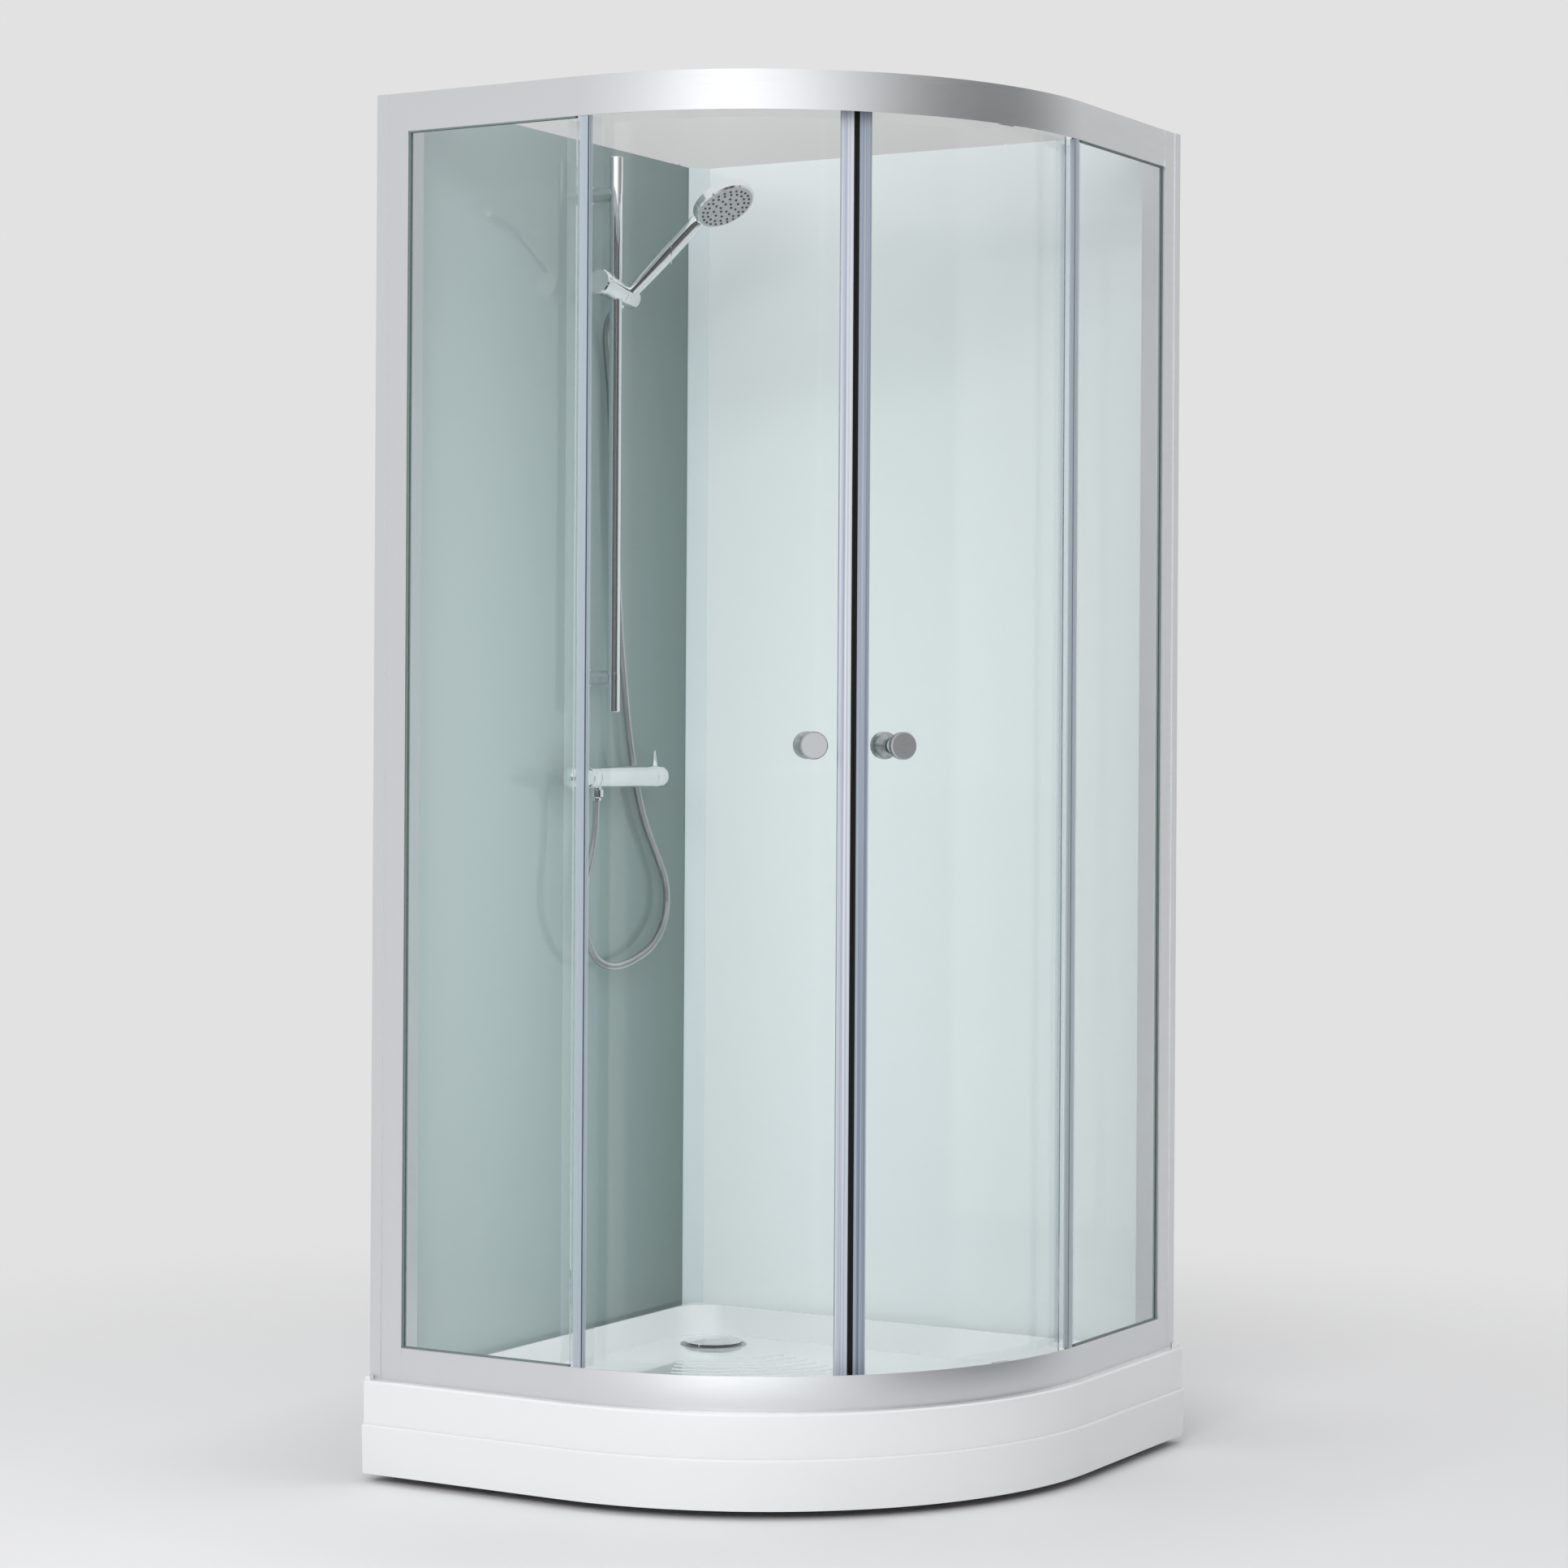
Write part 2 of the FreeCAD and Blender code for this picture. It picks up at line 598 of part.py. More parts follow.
def makeCornerProfile():
    """White corner extrusion: two wings behind the panels, a web and a diagonal cover."""
    w, t = 5.0, 2.4
    leg = cornerLeg
    slot = panelInset + paneThick + 0.2
    low, high = ledgeHeight, ledgeHeight + panelHeight
    outline = [(w + 3.2, w + 3.2), (w + 3.2, leg), (panelInset - 0.2, leg), (panelInset - 0.2, panelInset - 0.2),
               (leg, panelInset - 0.2), (leg, w + 3.2)]

    def prism(points):
        ring = [V(-half + u, half - v, low) for u, v in points]
        return Part.Face(Part.makePolygon(ring + ring[:1])).extrude(V(0, 0, high - low))

    wings = prism(outline)
    reach = leg - 2.0
    cover = prism([(slot, reach), (slot, reach - t * 1.5), (reach - t * 1.5, slot), (reach, slot),
                   (reach, slot + t * 0.4), (slot + t * 0.4, reach)])
    k = 1.2
    web = prism([(panelInset - 0.5 + k, panelInset - 0.5 - k), (panelInset - 0.5 - k, panelInset - 0.5 + k),
                 (reach / 2.0 + slot / 2.0 - k, reach / 2.0 + slot / 2.0 + k),
                 (reach / 2.0 + slot / 2.0 + k, reach / 2.0 + slot / 2.0 - k)])
    return fuse(wings, cover, web)


# ---- doors: the left one, made between the middle of the front and its trailing edge -----------

wheelAngles = (-45.0 - leadWheel, -45.0 - tailWheel)
wheelZ = topRun + trackHeight + ease + wheelRadius - wheelGroove
boltZ = doorTop - bracketBoltInset
tailAngle = -45.0 - doorTail


def makeDoorGlass():
    lead = -45.0 - arcAngle(magnetWidth + 4.0)
    glass = sector(doorRadius, doorFace, tailAngle, lead, doorBottom, doorTop)
    for angle in wheelAngles:
        glass = glass.cut(rod(onArc(doorRadius - 5, angle, boltZ), radial(angle), bracketBolt + 0.4, 20.0))
    angle = -45.0 - knobAngle
    glass = glass.cut(rod(onArc(doorRadius - 5, angle, knobHeight), radial(angle), knobBolt + 1.5, 20.0))
    return one(glass)


def makeEdgeProfile():
    """Channel on the leading edge that holds the magnetic strip."""
    a0 = -45.0 - arcAngle(magnetWidth + edgeProfileWidth)
    a1 = -45.0 - arcAngle(magnetWidth + 0.3)
    middle = doorRadius + paneThick / 2.0
    shell = sector(middle - edgeProfileDepth / 2.0, middle + edgeProfileDepth / 2.0, a0, a1, doorBottom + 4.0,
                   doorTop - 4.0)
    rib = sector(middle + edgeProfileDepth / 2.0 - 0.5, middle + edgeProfileDepth / 2.0 + 1.0,
                 a0 + arcAngle(5.5), a0 + arcAngle(7.0), doorBottom + 4.0, doorTop - 4.0)
    lead = -45.0 - arcAngle(magnetWidth + 4.0)
    slot = sector(doorRadius - seat, doorFace + seat, a0 - 1.0, lead + 0.01, doorBottom, doorTop)
    return one(shell.fuse(rib).cut(slot))


def makeMagnet():
    a0 = -45.0 - arcAngle(magnetWidth + 0.25)
    a1 = -45.0 - arcAngle(0.3)
    middle = doorRadius + paneThick / 2.0
    return sector(middle - 4.6, middle + 4.6, a0, a1, doorBottom + 4.0, doorTop - 4.0)


def makeTailSeal():
    """Clip on the trailing edge, with a fin that reaches out towards the fixed pane."""
    z0, z1 = trayHeight + bottomRailFace + 1.0, frameTop - topRailFace - 1.0
    a1 = tailAngle + arcAngle(14.0)
    shell = sector(doorRadius - 1.3, doorFace + 1.3, tailAngle - arcAngle(1.6), a1, z0, z1)
    fin = sector(doorFace, doorFace + tailSealReach, tailAngle - arcAngle(1.6),
                 tailAngle - arcAngle(1.6 - finThick), z0, z1)
    slot = sector(doorRadius - 0.05, doorFace + 0.05, tailAngle - 0.005, a1 + 1.0, z0 - 1.0, z1 + 1.0)
    return one(shell.fuse(fin).removeSplitter().cut(slot))


def makeRollerBrackets():
    """Plates inside the glass; each carries a wheel's axle over the running ledge."""
    pieces = []
    span = arcAngle(bracketWidth / 2.0)
    for angle in wheelAngles:
        low, high = boltZ - bracketEdge, wheelZ + bracketEdge
        plate = sector(doorRadius - seat - bracketThick, doorRadius - seat, angle - span, angle + span, low, high)
        start = doorRadius - seat - bracketThick / 2.0
        gap = trackRadius - wheelWidth / 2.0 - ease - start
        collar = rod(onArc(start, angle, wheelZ), radial(angle), axleRadius + axleShoulder, gap)
        axle = rod(onArc(start, angle, wheelZ), radial(angle), axleRadius, gap + wheelWidth + 2 * ease + axleHead)
        head = rod(onArc(trackRadius + wheelWidth / 2.0 + ease, angle, wheelZ), radial(angle),
                   axleRadius + axleHead * 0.75, axleHead)
        plate = plate.multiFuse([collar, axle, head])
        plate = plate.cut(rod(onArc(doorRadius - 2.0 * bracketThick, angle, boltZ), radial(angle),
                              bracketBolt + 0.05, 4.0 * bracketThick))
        pieces.append(one(plate.removeSplitter()))
        inner = doorRadius - seat - bracketThick
        through = doorFace - inner + ease
        bolt = turned([(-boltHeadThick, boltHead - 1.0), (-ease, boltHead), (-ease, bracketBolt),
                       (through, bracketBolt), (through, boltHead + 1.5), (through + boltHeadThick, boltHead + 0.5)],
                      onArc(inner, angle, boltZ), radial(angle))
        pieces.append(bolt)
    return pieces


def makeWheel(angle):
    half_ = wheelWidth / 2.0
    groove = trackWidth / 2.0 + 0.4
    rim, root = wheelRadius, wheelRadius - wheelGroove
    profile = [(-half_, rim - 0.8), (-half_ + 0.8, rim), (-groove, rim), (-groove, root), (groove, root),
               (groove, rim), (half_ - 0.8, rim), (half_, rim - 0.8)]
    centre = onArc(trackRadius, angle, wheelZ)
    wheel = turned(profile, centre, radial(angle))
    return one(wheel.cut(rod(centre - radial(angle) * 10.0, radial(angle), axleRadius + axlePlay, 20.0)))


def makeBottomGuides():
    """Shoes that grip the lower edge of the glass and run on the strip under the lower ledge."""
    pieces = []
    span = arcAngle(bracketWidth / 2.0)
    strip = bottomRun - trackHeight
    for angle in wheelAngles:
        def block(r0, r1, z0, z1):
            return sector(r0, r1, angle - span, angle + span, z0, z1)

        inner = doorRadius - seat - bracketThick
        foot = strip - shoeDepth
        near, far = trackRadius - shoeReach, trackRadius + shoeReach
        play = trackWidth / 2.0 + ease
        shoe = block(inner, doorRadius - seat, foot, doorBottom + shoeGrip)
        parts = [block(inner, doorFace + shoeLip, doorBottom - shoeLip, doorBottom - seat),
                 block(doorFace + seat, doorFace + shoeLip, doorBottom - shoeLip, doorBottom + shoeGrip),
                 block(inner, far, foot, strip - ease),
                 block(near, trackRadius - play, foot, bottomRun - ease),
                 block(trackRadius + play, far, foot, bottomRun - ease)]
        pieces.append(fuse(shoe, *parts))
    return pieces


def makeKnobs():
    """Turned knobs outside and inside, with the bolt and washers that join them through the glass."""
    angle = -45.0 - knobAngle
    out = radial(angle)
    profile = [(1.0, 12.0), (4.0, 12.0), (6.0, knobNeck), (14.0, knobNeck), (knobLength - 13.0, knobRadius - 2.5),
               (knobLength - 11.0, knobRadius), (knobLength - 2.0, knobRadius), (knobLength, knobRadius - 1.8)]
    knobs, metal = [], []
    for radius, along in ((doorFace, out), (doorRadius, out * -1)):
        start = onArc(radius, angle, knobHeight)
        knob = turned(profile, start, along)
        knobs.append(one(knob.cut(rod(start, along, knobBolt + 0.05, 14.0))))
        washer = rod(start + along * seat, along, 11.0, 0.8)
        metal.append(one(washer.cut(rod(start - along, along, knobBolt + 0.1, 5.0))))
    metal.append(rod(onArc(doorRadius - 12.0, angle, knobHeight), out, knobBolt, paneThick + 24.0))
    return knobs, metal


# ---- shower set ---------------------------------------------------------------------------------

def unionPlaces():
    return (unionFirst, unionFirst + unionPitch)


def makeRiser():
    """Chrome riser with its end sleeves."""
    length = riserTop - riserBottom
    sleeve = riserRadius + sleeveStep
    end = sleeve - sleeveEdge
    return turned([(0, end), (sleeveEdge, sleeve), (sleeveLength, sleeve), (sleeveLength + sleeveStep, riserRadius),
                   (length - sleeveLength - sleeveStep, riserRadius), (length - sleeveLength, sleeve),
                   (length - sleeveEdge, sleeve), (length, end)], V(riserX, riserY, riserBottom), UP)


def makeRiserBrackets():
    pieces = []
    for z in (riserBottom + bracketFromLow, riserTop - bracketFromTop):
        bracket = turned([(0, riserBracketRadius + 2.5), (2.5, riserBracketRadius + 2.5),
                          (4.0, riserBracketRadius), (riserStand - 3.0, riserBracketRadius)],
                         V(panelFront + seat, riserY, z), V(1, 0, 0))
        tall = 4.0 * riserBracketRadius
        grown = Part.makeCylinder(riserRadius + sleeveStep + seat, tall, V(riserX, riserY, z - tall / 2.0))
        cut = bracket.cut(grown)
        pieces.append(max(cut.Solids, key=lambda s: s.Volume))
    return pieces


sliderPoint = V(riserX, riserY, sliderHeight)


def leaned(shape):
    """Lean a piece of the slider with the slider's own axis."""
    moved = shape.copy()
    moved.rotate(sliderPoint, V(1, 0, 0), -sliderTilt)
    return moved


def along(distance):
    return sliderPoint + V(0, distance, 0)


handDirection = V(math.cos(math.radians(handsetPitch)), 0, math.sin(math.radians(handsetPitch)))
headDirection = V(math.cos(math.radians(headPitch)), 0, math.sin(math.radians(headPitch)))
headNormal = V(math.sin(math.radians(headPitch)), 0, -math.cos(math.radians(headPitch)))
drumPoint = along(sliderBack + ease + drumLength / 2.0)
neckPoint = drumPoint + handDirection * handleLength
headPoint = neckPoint + headDirection * (headRadius - 1.0) + headNormal * headDrop


def makeSlider():
    body = turned([(0, sliderRadius - 1.0), (2.0, sliderRadius + 1.5), (sliderFront - 8.0, sliderRadius + 1.5),
                   (sliderFront + sliderBack, sliderRadius)], along(-sliderFront), V(0, 1, 0))
    body = leaned(body)
    tall = 8.0 * sliderRadius
    rail = Part.makeCylinder(riserRadius + ease, tall, V(riserX, riserY, sliderHeight - tall / 2.0))
    return one(body.cut(rail))


def makeClamp():
    start = along(-sliderFront - ease)
    clamp = turned([(0, clampRadius - 3.0), (1.5, clampRadius), (clampLength - 2.0, clampRadius),
                    (clampLength, clampRadius - 2.0)], start, V(0, -1, 0))
    return leaned(clamp)


def handleShape(grow):
    """The handset's tapered handle, from its foot to the neck."""
    length = handleLength + handleFoot
    return turned([(0, 7.5 + grow), (12.0, 8.0 + grow), (22.0, 10.0 + grow), (48.0, 11.5 + grow),
                   (length * 0.55, handleRadius + grow), (length - 6.0, handleRadius - 1.0 + grow),
                   (length + 10.0, handleRadius - 3.5 + grow)],
                  drumPoint - handDirection * handleFoot, handDirection)


def makeHolder():
    drum = turned([(0, sliderRadius - 0.8), (0.8, sliderRadius), (drumLength - 5.0, sliderRadius),
                   (drumLength - 1.5, sliderRadius - 2.0), (drumLength, sliderRadius - 5.5)],
                  along(sliderBack + ease), V(0, 1, 0))
    return leaned(one(drum.cut(handleShape(seat))))


def makeHandset():
    head = turned([(0, headRadius - 3.0), (2.0, headRadius), (13.0, headRadius), (19.0, headRadius - 10.0),
                   (headDepth, headRadius - 30.0)], headPoint, headNormal * -1)
    face_ = turned([(-1.0, headRadius - 4.0), (3.0, headRadius - 4.0)], headPoint, headNormal * -1)
    handset = head.fuse(handleShape(0)).cut(face_)
    return leaned(one(handset.removeSplitter()))


def makeSprayFace():
    """Face plate with rings of nozzles."""
    plate = turned([(-1.2, headRadius - 7.0), (-0.6, headRadius - 4.0 - seat), (3.0 - seat, headRadius - 4.0 - seat)],
                   headPoint, headNormal * -1)
    side = V(0, 1, 0)
    nozzles = []
    for radius, count in nozzleRings:
        for i in range(count):
            a = 2 * math.pi * i / count
            place = headPoint + headDirection * (radius * math.cos(a)) + side * (radius * math.sin(a))
            nozzle = Part.Face(Part.makePolygon([place + headDirection * (1.6 * math.cos(math.pi * k / 2))
                                                 + side * (1.6 * math.sin(math.pi * k / 2)) for k in range(5)]))
            nozzles.append(nozzle.extrude(headNormal * 2.2))
    return leaned(one(plate.multiFuse(nozzles)))


mixerAxis = V(0, 1, 0)


def mixerPoint(y):
    return V(riserX, y, mixerHeight)


def makeMixer():
    length = mixerBack - mixerFront
    ring = mixerRing - mixerFront
    body = turned([(0, mixerRadius - 0.6), (0.6, mixerRadius), (ring - 1.0, mixerRadius),
                   (ring - 0.7, mixerRadius - 0.8), (ring + 0.7, mixerRadius - 0.8), (ring + 1.0, mixerRadius),
                   (length - 0.6, mixerRadius), (length, mixerRadius - 0.6)],
                  mixerPoint(mixerFront), mixerAxis)
    outlet = rod(V(riserX, outletY, mixerHeight), V(0, 0, -1), 8.0, mixerRadius + 6.0)
    return one(body.fuse(outlet).removeSplitter())


def domed(span):
    """A grip with a rounded outer end."""
    r = mixerRadius
    return [(0, r - 0.5), (1.0, r), (span - 14.0, r), (span - 8.0, r * 0.9), (span - 3.0, r * 0.68), (span, r * 0.34)]


def makeTemperatureHandle():
    """Collar and grip on the left end of the mixer."""
    start = mixerPoint(mixerFront - ease)
    return turned(domed(handleSpan), start, mixerAxis * -1)


def makeFlowHandle():
    start = mixerPoint(mixerBack + ease)
    grip = turned(domed(flowSpan), start, mixerAxis)
    lever = turned([(0, 6.0), (8.0, 4.0), (leverLength, 2.0)], start + V(0, 12.0, mixerRadius - 2.0), UP)
    return one(grip.fuse(lever).removeSplitter())


def makeUnions():
    pieces = []
    body = Part.makeCylinder(mixerRadius + seat, mixerBack - mixerFront, mixerPoint(mixerFront), mixerAxis)
    for y in unionPlaces():
        start = V(-half, y, mixerHeight)
        front = panelFront + half + seat
        union = turned([(0, unionRadius), (front, unionRadius), (front, 16.5), (front + 2.5, 16.5),
                        (front + 6.0, unionRadius + 2.5), (front + 15.0, unionRadius + 2.5),
                        (front + 15.0, unionRadius + 3.5), (riserX + half, unionRadius + 3.5)],
                       start, V(1, 0, 0))
        union = union.cut(body).cut(rod(start, V(1, 0, 0), unionBore, 30.0))
        pieces.append(max(union.Solids, key=lambda s: s.Volume))
    return pieces


# ---- hose ---------------------------------------------------------------------------------------

nutTop = mixerHeight - mixerRadius - 1.0
hoseStart = V(riserX, outletY, nutTop - nutLength - seat)
# chosen by hand from the outlet's nut, round the hanging loop, up behind the riser
hoseMiddle = [V(-395.5, 68, 952), V(-400, 54, 898), V(-403, 43, 844), V(-406, 54, 790), V(-410, 88, 748),
              V(-413, 140, 732), V(-416, 194, 735), V(-419, 248, 748), V(-422, 298, 770),
              V(-426, 333, 811), V(-428, 334, 865), V(-430, 305, 911), V(-431, 273, 956),
              V(-431, 250, 1006), V(-431, 233, 1058), V(-432, 217, 1131), V(-432, 204, 1205),
              V(-433, 194, 1279), V(-433, 184, 1384), V(-434, 176, 1488), V(-434, 168, 1593),
              V(-435, 160, 1690)]


def hosePoints():
    foot = leaned(Part.Vertex(drumPoint - handDirection * handleFoot)).Point
    back = leaned(Part.Vertex(drumPoint - handDirection * (handleFoot + 26.0))).Point
    return [hoseStart] + hoseMiddle + [back, foot]


def makeHose(points):
    """Straight runs joined by tangent arcs, each as large as its two runs allow."""
    edges, here, tightest = [], points[0], 1e9
    for before, corner, after in zip(points, points[1:], points[2:]):
        u = (corner - before).normalize()
        w = (after - corner).normalize()
        turn = u.getAngle(w)
        reach = 0.45 * min(corner.distanceToPoint(before), after.distanceToPoint(corner))
        radius = reach / math.tan(turn / 2.0)
        tightest = min(tightest, radius)
        print("hose turn", round(math.degrees(turn), 1), "radius", round(radius, 1))
        start, end = corner - u * reach, corner + w * reach
        inward = (w - u).normalize()
        middle = corner + inward * (radius / math.cos(turn / 2.0) - radius)
        edges.append(Part.LineSegment(here, start).toShape())
        edges.append(Part.Arc(start, middle, end).toShape())
        here = end
    edges.append(Part.LineSegment(here, points[-1]).toShape())
    path = Part.Wire(edges)
    first = (points[1] - points[0]).normalize()
    ring = Part.Wire(Part.makeCircle(hoseRadius, points[0], first))
    tube = path.makePipeShell([ring], True, False)
    solid = one(tube)
    section = math.pi * hoseRadius ** 2
    print("hose length", round(path.Length), "tightest", round(tightest, 1),
          "volume ratio", round(solid.Volume / (section * path.Length), 4))
    return solid


def makeHoseNut():
    nut = turned([(0, nutRadius - 1.0), (1.0, nutRadius), (12.0, nutRadius), (14.0, hoseRadius + 1.6),
                  (nutLength, hoseRadius + 1.0)], V(riserX, hoseStart.y, nutTop), V(0, 0, -1))
    outlet = rod(V(riserX, hoseStart.y, nutTop + 1.0), V(0, 0, -1), 8.0 + seat, 6.0 + seat)
    return one(nut.cut(outlet))


# ---- build ----------------------------------------------------------------------------------------

save("shower_tray", makeTray())
makeFeet()
makeWaste()
save("top_rail", makeRail(frameTop, 1, topRailFace, topLedge))
save("bottom_rail", makeRail(trayHeight, -1, bottomRailFace, bottomLedge))
save("roller_tracks", [makeTrack(topRun), makeTrack(bottomRun - trackHeight)])
save("door_stops", [makeStop(), mirrored(makeStop())])
save("frame_screws", makeScrews())
knobs, knobMetal = makeKnobs()
leftPieces = {
    "wall_channel": [makeChannel()],
    "wall_post": [makePost()],
    "fixed_glass": [paneBox(0)],
    "glazing_gasket": [makeGasket()],
    "fixed_seal": [makeFixedSeal()],
    "door_glass": [makeDoorGlass()],
    "door_profile": [makeEdgeProfile()],
    "magnet_strip": [makeMagnet()],
    "trailing_seal": [makeTailSeal()],
    "door_knob": knobs,
    "knob_bolt": knobMetal,
    "roller_brackets": makeRollerBrackets(),
    "lead_wheel": [makeWheel(wheelAngles[0])],
    "tail_wheel": [makeWheel(wheelAngles[1])],
    "bottom_guides": makeBottomGuides(),
}
for name, pieces in leftPieces.items():
    save(name + "_left", pieces)
    save(name + "_right", [mirrored(piece) for piece in pieces])
save("rear_panel_left", makeRearPanel(unionPlaces()))
save("rear_panel_right", mirrored(makeRearPanel([])))
save("corner_profile", makeCornerProfile())
save("riser_rail", makeRiser())
save("rail_brackets", makeRiserBrackets())
save("slider_body", makeSlider())
save("slider_knob", makeClamp())
save("handset_holder", makeHolder())
save("handset", makeHandset())
save("spray_face", makeSprayFace())
save("mixer_body", makeMixer())
save("temperature_handle", makeTemperatureHandle())
save("flow_handle", makeFlowHandle())
save("wall_unions", makeUnions())
save("hose_nut", makeHoseNut())
save("shower_hose", makeHose(hosePoints()))
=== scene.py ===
import json
import math

import bpy
from mathutils import Matrix, Vector


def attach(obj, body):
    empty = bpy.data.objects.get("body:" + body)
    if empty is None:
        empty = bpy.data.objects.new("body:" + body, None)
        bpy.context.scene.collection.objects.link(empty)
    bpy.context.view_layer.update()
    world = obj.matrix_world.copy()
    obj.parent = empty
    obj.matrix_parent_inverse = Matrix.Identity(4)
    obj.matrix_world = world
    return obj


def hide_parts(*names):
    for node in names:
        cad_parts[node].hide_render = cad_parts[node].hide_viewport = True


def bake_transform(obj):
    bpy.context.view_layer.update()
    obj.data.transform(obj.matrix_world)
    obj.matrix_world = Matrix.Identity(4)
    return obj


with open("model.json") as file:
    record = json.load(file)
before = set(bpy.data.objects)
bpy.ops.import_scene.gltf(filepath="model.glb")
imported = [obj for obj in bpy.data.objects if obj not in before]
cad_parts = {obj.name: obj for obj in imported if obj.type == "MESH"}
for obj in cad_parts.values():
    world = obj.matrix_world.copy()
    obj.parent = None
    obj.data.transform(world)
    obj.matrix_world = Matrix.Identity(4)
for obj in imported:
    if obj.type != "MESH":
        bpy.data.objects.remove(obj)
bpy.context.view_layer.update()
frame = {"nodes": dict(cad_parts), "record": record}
nodes = frame["nodes"]
print("frame loaded:", len(nodes), "nodes")


# Shader nodes. "owner" is a material or the world; a value is a number, a colour or another node's output.

def addNode(owner, kind, **values):
    node = owner.node_tree.nodes.new(kind)
    for key, value in values.items():
        setattr(node, key, value)
    return node


def feed(owner, socket, value):
    if isinstance(value, bpy.types.NodeSocket):
        owner.node_tree.links.new(value, socket)
    else:
        socket.default_value = value


def calculated(owner, operation, *values):
    node = addNode(owner, "ShaderNodeMath", operation=operation)
    for socket, value in zip(node.inputs, values):
        feed(owner, socket, value)
    return node.outputs["Value"]


def mapped(owner, value, source, target=(0.0, 1.0), **values):
    # the range "source" becomes the range "target"
    band = addNode(owner, "ShaderNodeMapRange", **values)
    feed(owner, band.inputs["Value"], value)
    for label, number in zip(("From Min", "From Max", "To Min", "To Max"), (*source, *target)):
        band.inputs[label].default_value = number
    return band.outputs["Result"]


def axes(owner, coordinates="Object"):
    place = addNode(owner, "ShaderNodeTexCoord")
    split = addNode(owner, "ShaderNodeSeparateXYZ")
    feed(owner, split.inputs["Vector"], place.outputs[coordinates])
    return split.outputs


evenly = (1.0, 1.0, 1.0)


def noise(owner, scale, stretch=evenly, detail=3.0):
    place = addNode(owner, "ShaderNodeTexCoord")
    mapping = addNode(owner, "ShaderNodeMapping")
    feed(owner, mapping.inputs["Vector"], place.outputs["Object"])
    feed(owner, mapping.inputs["Scale"], stretch)
    texture = addNode(owner, "ShaderNodeTexNoise")
    feed(owner, texture.inputs["Vector"], mapping.outputs["Vector"])
    feed(owner, texture.inputs["Scale"], scale)
    feed(owner, texture.inputs["Detail"], detail)
    return texture.outputs["Fac"]


noiseBand = (0.3, 0.7)  # where nearly all of a noise's values lie


def startMaterial(name, colour, metal=0.0):
    material = bpy.data.materials.new(name)
    material.use_nodes = True
    shader = material.node_tree.nodes["Principled BSDF"]
    shader.inputs["Base Color"].default_value = (*colour, 1.0)
    shader.inputs["Metallic"].default_value = metal
    return material, shader


def roughen(material, shader, value, low, high):
    feed(material, shader.inputs["Roughness"], mapped(material, value, noiseBand, (low, high)))


def tint(material, shader, value, start, end):
    ramp = addNode(material, "ShaderNodeValToRGB")
    for element, colour in zip(ramp.color_ramp.elements, (start, end)):
        element.color = (*colour, 1.0)
    feed(material, ramp.inputs["Fac"], value)
    feed(material, shader.inputs["Base Color"], ramp.outputs["Color"])


def showMixed(material, share, first, second):
    # "share" of the surface shows the second shader and the rest the first one
    mix = addNode(material, "ShaderNodeMixShader")
    for socket, value in zip(mix.inputs, (share, first, second)):
        feed(material, socket, value)
    feed(material, material.node_tree.nodes["Material Output"].inputs["Surface"], mix.outputs["Shader"])


def clearShader(material, colour=(1.0, 1.0, 1.0)):
    clear = addNode(material, "ShaderNodeBsdfTransparent")
    clear.inputs["Color"].default_value = (*colour, 1.0)
    return clear.outputs["BSDF"]


# Tray

acrylic = {
    "pale": (0.78, 0.79, 0.8), "dark": (0.75, 0.76, 0.77), "cloudScale": 3.0, "roughness": (0.14, 0.2),
    "roughScale": 9.0, "coat": 1.0, "coatRoughness": 0.05,
}


def acrylicWhite():
    material, shader = startMaterial("acrylicWhite", acrylic["pale"])
    tint(material, shader, noise(material, acrylic["cloudScale"]), acrylic["dark"], acrylic["pale"])
    roughen(material, shader, noise(material, acrylic["roughScale"]), *acrylic["roughness"])
    shader.inputs["Coat Weight"].default_value = acrylic["coat"]
    shader.inputs["Coat Roughness"].default_value = acrylic["coatRoughness"]
    return material


# Rails, posts and channels, with fine lines that run level

satin = {
    "colour": (0.74, 0.75, 0.77), "metal": 1.0, "roughness": (0.3, 0.4), "lineScale": 12.0,
    "lineStretch": (2.0, 2.0, 90.0), "lineDetail": 4.0, "bump": 0.06, "bumpDepth": 0.0004,
}


def satinAluminium():
    material, shader = startMaterial("satinAluminium", satin["colour"], satin["metal"])
    lines = noise(material, satin["lineScale"], satin["lineStretch"], satin["lineDetail"])
    roughen(material, shader, lines, *satin["roughness"])
    bump = addNode(material, "ShaderNodeBump")
    feed(material, bump.inputs["Strength"], satin["bump"])
    feed(material, bump.inputs["Distance"], satin["bumpDepth"])
    feed(material, bump.inputs["Height"], lines)
    feed(material, shader.inputs["Normal"], bump.outputs["Normal"])
    return material


# Profile in the rear corner

cornerProfile = {
    "pale": (0.66, 0.73, 0.75), "dark": (0.58, 0.66, 0.69), "scale": 4.0, "stretch": (3.0, 3.0, 0.5),
    "roughness": 0.3,
}


def whiteProfile():
    material, shader = startMaterial("whiteProfile", cornerProfile["pale"])
    clouds = noise(material, cornerProfile["scale"], cornerProfile["stretch"])
    tint(material, shader, clouds, cornerProfile["dark"], cornerProfile["pale"])
    shader.inputs["Roughness"].default_value = cornerProfile["roughness"]
    return material


# Panes

glass = {
    "pale": (0.978, 0.992, 0.99), "dark": (0.968, 0.986, 0.984), "scale": 1.5, "roughness": 0.0,
    "refraction": 1.45, "lampTint": (0.95, 0.98, 0.975),
}


